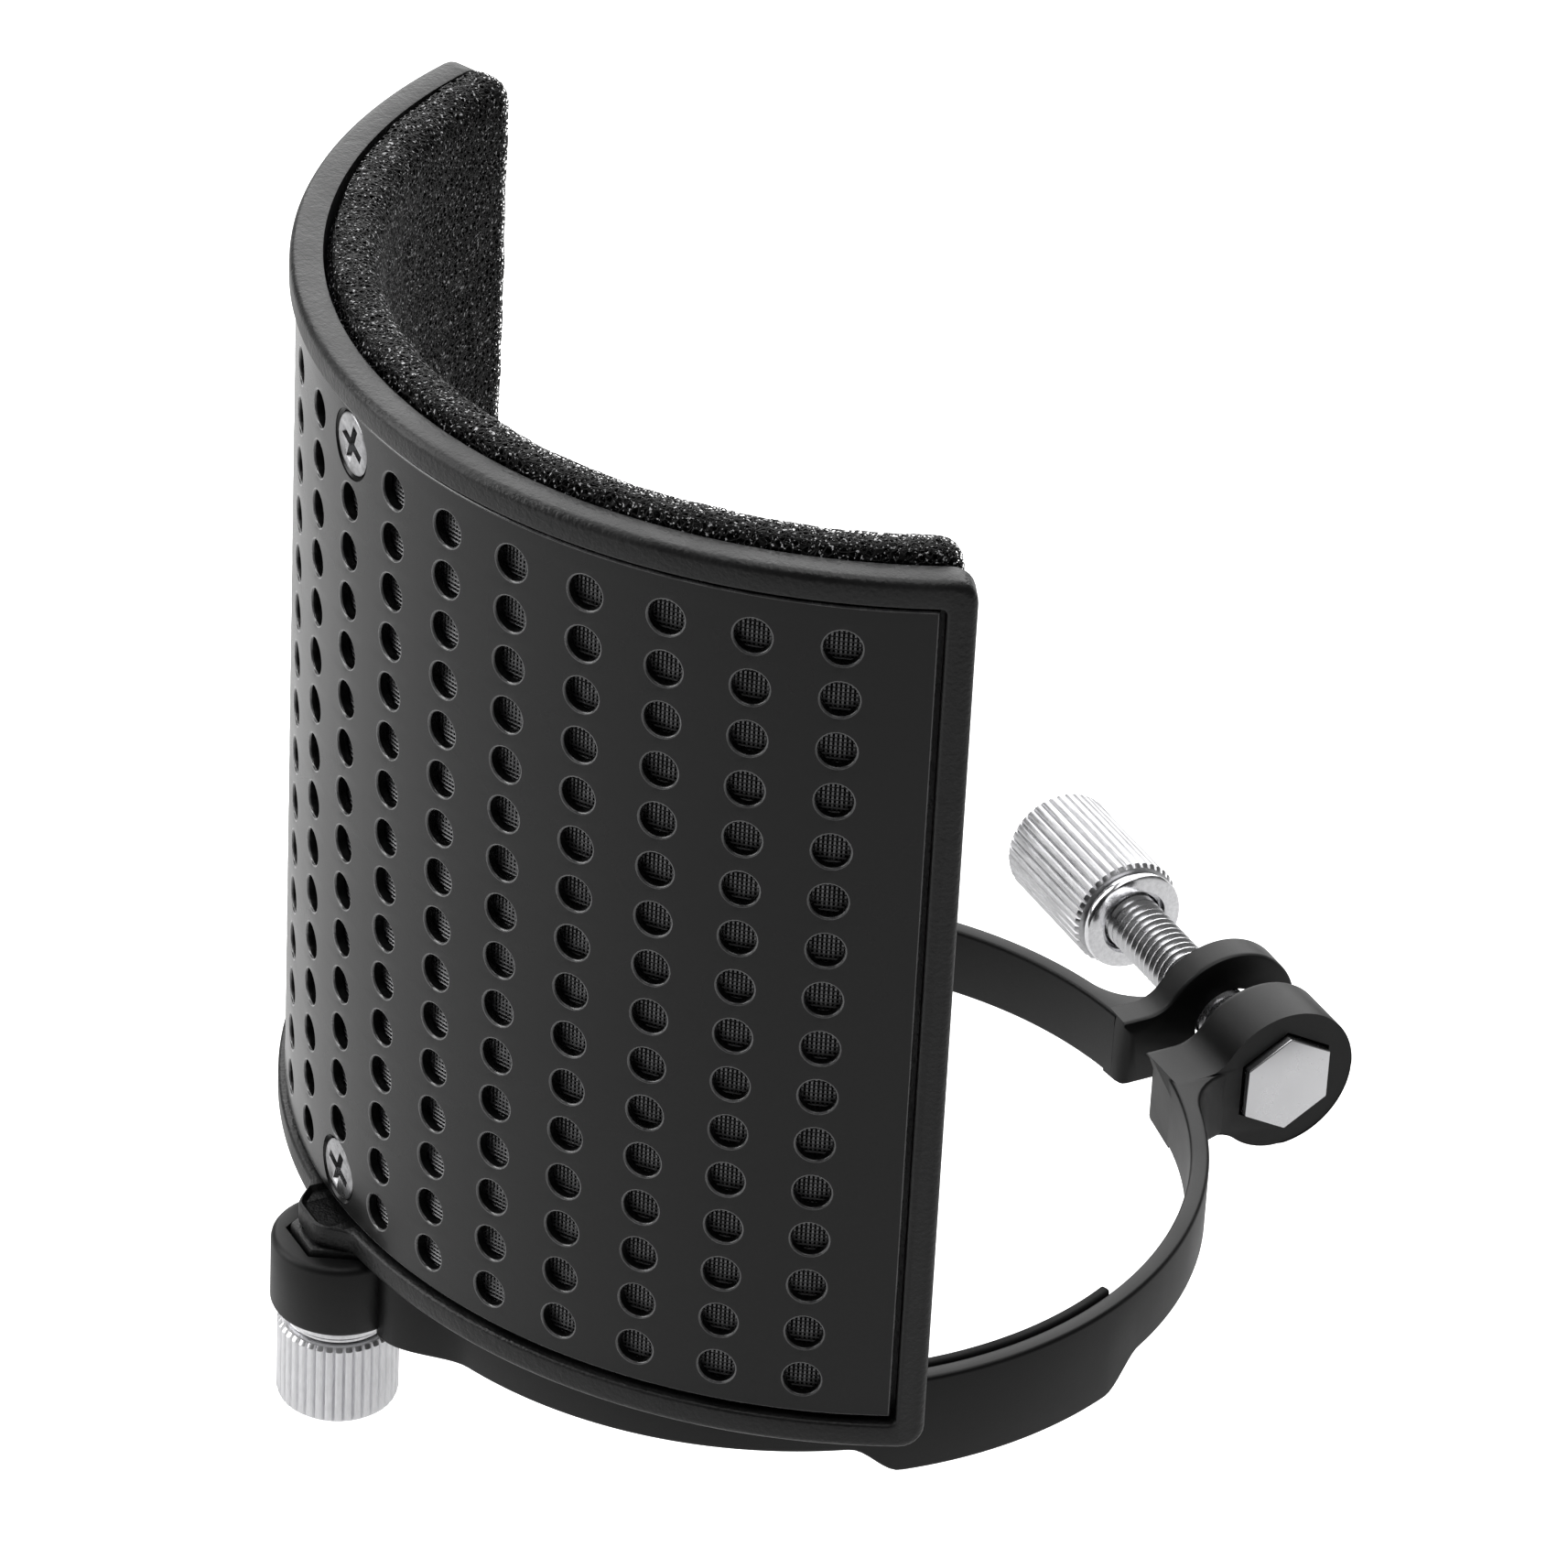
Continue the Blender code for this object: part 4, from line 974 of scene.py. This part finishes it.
def make_arm(materials, name, side, thickness, node):
    face_x = HALF_SLOT + thickness
    flare, last = ear_flare(face_x)
    bm = band_arc(math.radians(30), last + math.radians(0.6), 150, flare, end_drop=0.004)
    plate = ear_plate(face_x, 0.7 * MM if side > 0 else 0.5 * MM)
    bm = combined(bm, plate, "UNION")
    hole = turned([(0, 0), (3.2 * MM, 0), (3.2 * MM, 20 * MM), (0, 20 * MM)], 48, (-1 * MM, EAR_Y, EAR_Z), (1, 0, 0))
    bm = combined(bm, hole, "DIFFERENCE")
    if side > 0:
        pocket = hexagon(HEX_FLATS + 0.5 * MM, 20 * MM)
        pocket.transform(
            Matrix.Translation((HALF_SLOT + 2.2 * MM, EAR_Y, EAR_Z)) @ Matrix.Rotation(math.pi / 2, 4, "Y")
        )
        bm = combined(bm, pocket, "DIFFERENCE")
        sleeve = turned(
            [(2.75 * MM, 0), (3.12 * MM, 0), (3.12 * MM, 3.3 * MM), (2.75 * MM, 3.3 * MM)],
            48, (HALF_SLOT + 0.2 * MM, EAR_Y, EAR_Z), (-1, 0, 0),
        )
        seat = turned(
            [(2.76 * MM, 0), (3.4 * MM, 0), (3.4 * MM, 1.6 * MM), (2.76 * MM, 1.6 * MM)],
            48, (HALF_SLOT + 1.8 * MM, EAR_Y, EAR_Z), (-1, 0, 0),
        )
        bm = combined(combined(bm, seat, "UNION"), sleeve, "UNION")
    if side < 0:
        bmesh.ops.scale(bm, verts=bm.verts, vec=(-1, 1, 1))
        bmesh.ops.reverse_faces(bm, faces=bm.faces)
    arm = piece(name, bm, materials["clamp"], None, [node], sharp_degrees=35, recalculate=False)
    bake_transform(arm)


def make_base(materials):
    bm = band_arc(-math.radians(30), math.radians(30), 60, lug_flare)
    lug = turned(
        [(0, LUG_BOTTOM), (LUG_R - 0.4 * MM, LUG_BOTTOM), (LUG_R - 0.12 * MM, LUG_BOTTOM + 0.12 * MM),
         (LUG_R, LUG_BOTTOM + 0.4 * MM), (LUG_R, LUG_TOP - 0.6 * MM), (LUG_R - 0.05 * MM, LUG_TOP - 0.35 * MM),
         (LUG_R - 0.18 * MM, LUG_TOP - 0.17 * MM), (LUG_R - 0.36 * MM, LUG_TOP - 0.05 * MM),
         (LUG_R - 0.6 * MM, LUG_TOP), (0, LUG_TOP)],
        72, (0, LUG_Y, 0),
    )
    room = turned(
        [(0, LUG_BOTTOM - 5 * MM), (LUG_R - 0.1 * MM, LUG_BOTTOM - 5 * MM), (LUG_R - 0.1 * MM, LUG_BOTTOM + 0.1 * MM),
         (0, LUG_BOTTOM + 0.1 * MM)],
        72, (0, LUG_Y, 0),
    )
    bm = combined(bm, room, "DIFFERENCE")
    opening = turned(
        [(0, -20 * MM), (RING_INNER_R + 0.1 * MM, -20 * MM), (RING_INNER_R + 0.1 * MM, 20 * MM), (0, 20 * MM)], 360
    )
    lug = combined(lug, opening, "DIFFERENCE")
    bm = combined(bm, lug, "UNION")
    seat = hexagon(7.6 * MM, 10 * MM)
    seat.transform(Matrix.Translation((0, LUG_Y, LUG_TOP - 2.0 * MM)))
    bm = combined(bm, seat, "DIFFERENCE")
    bore = turned([(0, -20 * MM), (2.75 * MM, -20 * MM), (2.75 * MM, 20 * MM), (0, 20 * MM)], 40, (0, LUG_Y, 0))
    bm = combined(bm, bore, "DIFFERENCE")
    piece("clamp_ring_front", bm, materials["clamp"], BASE, ["clamp_base"], sharp_degrees=35)


def make_pad(materials, side, body):
    low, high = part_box("grip_pad_right")
    start, end = FOOT_START - math.radians(3), FOOT_END + math.radians(3)
    outer = RING_INNER_R - 0.05 * MM
    bm = bmesh.new()
    bmesh.ops.create_grid(bm, x_segments=1, y_segments=1, size=0.5)
    bm.transform(
        Matrix.Rotation(start, 4, "Z")
        @ Matrix.Translation((0, -(outer - 0.45 * MM), (low.z + high.z) / 2))
        @ Matrix.Rotation(math.pi / 2, 4, "Y")
        @ Matrix.Diagonal((high.z - low.z, 0.85 * MM, 1, 1))
    )
    bmesh.ops.bevel(
        bm, geom=bm.verts[:], offset=0.25 * MM, segments=3, profile=0.5, affect="VERTICES", material=-1
    )
    bmesh.ops.delete(bm, geom=bm.faces[:], context="FACES_ONLY")
    bmesh.ops.spin(
        bm, geom=bm.verts[:] + bm.edges[:], cent=(0, 0, 0), axis=(0, 0, 1), angle=end - start, steps=40,
        use_merge=False, use_duplicate=False,
    )
    bmesh.ops.holes_fill(bm, edges=[edge for edge in bm.edges if edge.is_boundary], sides=0)
    bmesh.ops.recalc_face_normals(bm, faces=bm.faces)
    middle = (low.z + high.z) / 2
    for vert in bm.verts:
        if vert.co.z < middle:
            vert.co.z += FOOT_DROP - foot_dip(math.atan2(vert.co.x, -vert.co.y))
    if side < 0:
        bmesh.ops.scale(bm, verts=bm.verts, vec=(-1, 1, 1))
        bmesh.ops.reverse_faces(bm, faces=bm.faces)
    word = "right" if side > 0 else "left"
    piece(f"grip_liner_{word}", bm, materials["rubber"], body, [f"grip_pad_{word}"], recalculate=False)


# Fasteners


def threaded_rod(radius, length, chamfer=0.6 * MM):
    """A rod along +Z with one continuous thread, closed at both ends."""
    depth = 0.42 * MM
    turns = int(length / THREAD_PITCH) + 1
    bm = bmesh.new()
    verts = []
    for turn in range(turns + 1):
        for share, drop in ((0.0, 0.0), (0.12, 0.0), (0.5, 1.0), (0.62, 1.0)):
            verts.append(bm.verts.new((radius - depth * drop, 0, (turn + share - 1) * THREAD_PITCH)))
    edges = [bm.edges.new(pair) for pair in zip(verts, verts[1:])]
    steps = 28
    bmesh.ops.spin(
        bm, geom=verts + edges, cent=(0, 0, 0), axis=(0, 0, 1), dvec=(0, 0, THREAD_PITCH / steps),
        angle=math.tau, steps=steps, use_merge=False, use_duplicate=False,
    )
    bmesh.ops.remove_doubles(bm, verts=bm.verts, dist=2e-6)
    for plane, keep in ((0, 1), (length, -1)):
        bmesh.ops.bisect_plane(
            bm, geom=bm.verts[:] + bm.edges[:] + bm.faces[:], plane_co=(0, 0, plane), plane_no=(0, 0, -keep),
            clear_outer=True,
        )
    open_edges = [edge for edge in bm.edges if edge.is_boundary]
    bmesh.ops.holes_fill(bm, edges=open_edges, sides=0)
    for vert in bm.verts:
        limit = radius - max(0.0, chamfer - (length - vert.co.z))
        r = math.hypot(vert.co.x, vert.co.y)
        if r > limit > 0:
            vert.co.x *= limit / r
            vert.co.y *= limit / r
    bmesh.ops.recalc_face_normals(bm, faces=bm.faces)
    return bm


def make_bolt(materials):
    low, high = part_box("clamp_bolt")
    head = hexagon(HEX_FLATS, 3.5 * MM, 0.12 * MM)
    head.transform(Matrix.Translation((high.x, EAR_Y, EAR_Z)) @ Matrix.Rotation(-math.pi / 2, 4, "Y"))
    rod = threaded_rod(BOLT_R, high.x - 3.0 * MM - low.x)
    rod.transform(Matrix.Translation((high.x - 3.0 * MM, EAR_Y, EAR_Z)) @ Matrix.Rotation(-math.pi / 2, 4, "Y"))
    rod_mesh = bpy.data.meshes.new("rod")
    rod.to_mesh(rod_mesh)
    rod.free()
    head.from_mesh(rod_mesh)
    bpy.data.meshes.remove(rod_mesh)
    piece("hex_bolt", head, materials["bolt"], ARM_RIGHT, ["clamp_bolt"], sharp_degrees=50)


def make_stud(materials):
    low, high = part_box("shield_stud")
    rod = threaded_rod(BOLT_R, high.z - low.z)
    rod.transform(Matrix.Translation((0, LUG_Y, high.z)) @ Matrix.Rotation(math.pi, 4, "X"))
    piece("threaded_stud", rod, materials["bolt"], BASE, ["shield_stud"], sharp_degrees=50)


FLUTES = 38
FLUTE_STEPS = 6


def make_nut(materials, name, node, material, body, start, along, length):
    """A thumb nut with broad lands and narrow straight grooves, rounded at both ends."""
    bore, lead = 2.62 * MM, 3.1 * MM
    end_round = 0.45 * MM
    profile = [(lead, 0), (NUT_R - 0.75 * MM, 0), (NUT_R - 0.3 * MM, 0.18 * MM), (NUT_R, 0.5 * MM)]
    profile += [(NUT_R, length * share) for share in (0.3, 0.5, 0.7)]
    profile += [
        (NUT_R, length - 0.75 * MM),
        (NUT_R - 0.12 * MM, length - 0.4 * MM),
        (NUT_R - end_round, length - 0.12 * MM),
        (NUT_R - 0.8 * MM, length),
        (lead, length),
        (bore, length - 0.5 * MM),
        (bore, 0.5 * MM),
    ]
    bm = turned(profile, FLUTES * FLUTE_STEPS)
    groove = 0.3 * MM
    for vert in bm.verts:
        radius = math.hypot(vert.co.x, vert.co.y)
        if radius < NUT_R - 0.2 * MM:
            continue
        turn = math.atan2(vert.co.y, vert.co.x) / math.tau * FLUTES * FLUTE_STEPS
        step = round(turn) % FLUTE_STEPS
        depth = {0: groove, 1: 0.25 * groove, FLUTE_STEPS - 1: 0.25 * groove}.get(step, 0.0)
        target = min(radius, NUT_R - depth) if depth else radius
        vert.co.x *= target / radius
        vert.co.y *= target / radius
    turn = Vector(along).to_track_quat("Z", "Y").to_matrix().to_4x4()
    bm.transform(Matrix.Translation(start) @ turn)
    piece(name, bm, material, body, [node], sharp_degrees=25)


def make_collar(materials, name, node, body, start, along):
    bore = 3.05 * MM
    bm = turned(
        [(bore, 0), (COLLAR_R - 0.35 * MM, 0), (COLLAR_R - 0.1 * MM, 0.1 * MM), (COLLAR_R, 0.3 * MM),
         (COLLAR_R, 0.62 * MM), (COLLAR_R - 0.25 * MM, 0.9 * MM), (COLLAR_R - 0.25 * MM, 1.1 * MM),
         (2.7 * MM, 1.1 * MM), (2.7 * MM, 0.4 * MM)],
        96, start, along,
    )
    piece(name, bm, materials["collar"], body, [node], sharp_degrees=30)


def make_fasteners(materials):
    make_bolt(materials)
    make_stud(materials)
    collar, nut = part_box("clamp_nut_collar"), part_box("clamp_nut")
    make_collar(
        materials, "clamp_nut_neck", "clamp_nut_collar", "clamp_collar", (collar[1].x, EAR_Y, EAR_Z), (-1, 0, 0)
    )
    make_nut(
        materials, "clamp_thumb_nut", "clamp_nut", materials["nut"], "clamp_thumb_nut",
        (nut[1].x, EAR_Y, EAR_Z), (-1, 0, 0), nut[1].x - nut[0].x,
    )
    collar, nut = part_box("stud_nut_collar"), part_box("stud_nut")
    make_collar(materials, "stud_nut_neck", "stud_nut_collar", "stud_collar", (0, LUG_Y, collar[1].z), (0, 0, -1))
    # The lower nut gets the lighter copy of the aluminium, painted light.
    make_nut(
        materials, "stud_thumb_nut", "stud_nut", materials["lower_nut"], "stud_thumb_nut",
        (0, LUG_Y, nut[1].z), (0, 0, -1), nut[1].z - nut[0].z,
    )


# Studio


def make_camera():
    azimuth, elevation, roll = 1.07442581, 0.565031859, 0.0523301239
    unit = 4.4 * MM
    distance, shift_right, shift_up = 149.490196 * unit, -1.92007521 * unit, -1.63742757 * unit
    lens = 9011.86767 / 1713 * 36
    back = Vector(
        (
            math.sin(azimuth) * math.cos(elevation),
            -math.cos(azimuth) * math.cos(elevation),
            math.sin(elevation),
        )
    )
    right = Vector((math.cos(azimuth), math.sin(azimuth), 0))
    up = back.cross(right)
    right, up = (
        right * math.cos(roll) + up * math.sin(roll),
        -right * math.sin(roll) + up * math.cos(roll),
    )
    target = Vector((0, SHIELD_SET_BACK - 0.001 * MM, 43.163 * MM))
    data = bpy.data.cameras.new("studio_camera")
    data.lens, data.sensor_width, data.sensor_fit = lens, 36, "HORIZONTAL"
    data.clip_start, data.clip_end = 0.01, 50
    camera = bpy.data.objects.new("studio_camera", data)
    bpy.context.scene.collection.objects.link(camera)
    turn = Matrix((right, up, back)).transposed().to_4x4()
    place = target + right * shift_right + up * shift_up + back * distance
    camera.matrix_world = Matrix.Translation(place) @ turn
    bpy.context.scene.camera = camera
    return right, up, back


def soft_box(name, direction, distance, size, power, height=None):
    """A square area light that faces the object's middle."""
    middle = Vector((0, 0, 35 * MM))
    data = bpy.data.lights.new(name, "AREA")
    data.shape = "RECTANGLE"
    data.size, data.size_y = size, height or size
    data.energy = power
    light = bpy.data.objects.new(name, data)
    bpy.context.scene.collection.objects.link(light)
    toward = Vector(direction).normalized()
    light.matrix_world = Matrix.Translation(middle + toward * distance) @ toward.to_track_quat(
        "Z", "Y"
    ).to_matrix().to_4x4()


def make_studio():
    right, up, back = make_camera()
    scene = bpy.context.scene
    scene.view_settings.view_transform = "Standard"
    world = bpy.data.worlds.new("studio")
    scene.world = world
    world.use_nodes = True
    tree = world.node_tree
    background = tree.nodes["Background"]
    path = tree.nodes.new("ShaderNodeLightPath")
    tree.links.new(
        mixed_colour(tree, path.outputs["Is Camera Ray"], (0.12, 0.12, 0.12, 1), (1, 1, 1, 1)),
        background.inputs["Color"],
    )
    soft_box("key_left", -right * 0.9 + up * 0.35 + back * 0.15, 0.7, 0.4, 1.8)
    soft_box("high_left", -right * 0.6 + up * 0.75 + back * 0.2, 0.8, 0.3, 1.4)
    soft_box("backdrop", Vector((-0.743, 0.402, 0.535)), 0.8, 0.9, 6.5)
    soft_box("overhead", Vector((0, 0, 1)) + right * 0.1, 0.8, 0.6, 2.4)
    floor = bmesh.new()
    bmesh.ops.create_grid(floor, x_segments=1, y_segments=1, size=1.5)
    mesh = bpy.data.meshes.new("floor")
    floor.transform(Matrix.Translation((0, 0, -0.05)))
    floor.to_mesh(mesh)
    floor.free()
    made = bpy.data.objects.new("floor", mesh)
    scene.collection.objects.link(made)
    material = bpy.data.materials.new("pale_floor")
    material.use_nodes = True
    shader = material.node_tree.nodes["Principled BSDF"]
    shader.inputs["Base Color"].default_value = (0.8, 0.8, 0.8, 1)
    shader.inputs["Roughness"].default_value = 0.9
    shader.inputs["Emission Color"].default_value = (1, 1, 1, 1)
    path = material.node_tree.nodes.new("ShaderNodeLightPath")
    material.node_tree.links.new(path.outputs["Is Camera Ray"], shader.inputs["Emission Strength"])
    mesh.materials.append(material)


def build():
    materials = build_materials()
    make_studio()
    make_frame(materials)
    make_grille(materials)
    make_wire_mesh(materials)
    for place, z in SCREW_Z.items():
        make_grille_screw(materials, place, z)
    make_foam(materials)
    make_base(materials)
    make_arm(materials, "clamp_ring_right", 1, RIGHT_EAR, "clamp_arm_right")
    make_arm(materials, "clamp_ring_left", -1, LEFT_EAR, "clamp_arm_left")
    make_pad(materials, 1, ARM_RIGHT)
    make_pad(materials, -1, ARM_LEFT)
    make_fasteners(materials)


build()
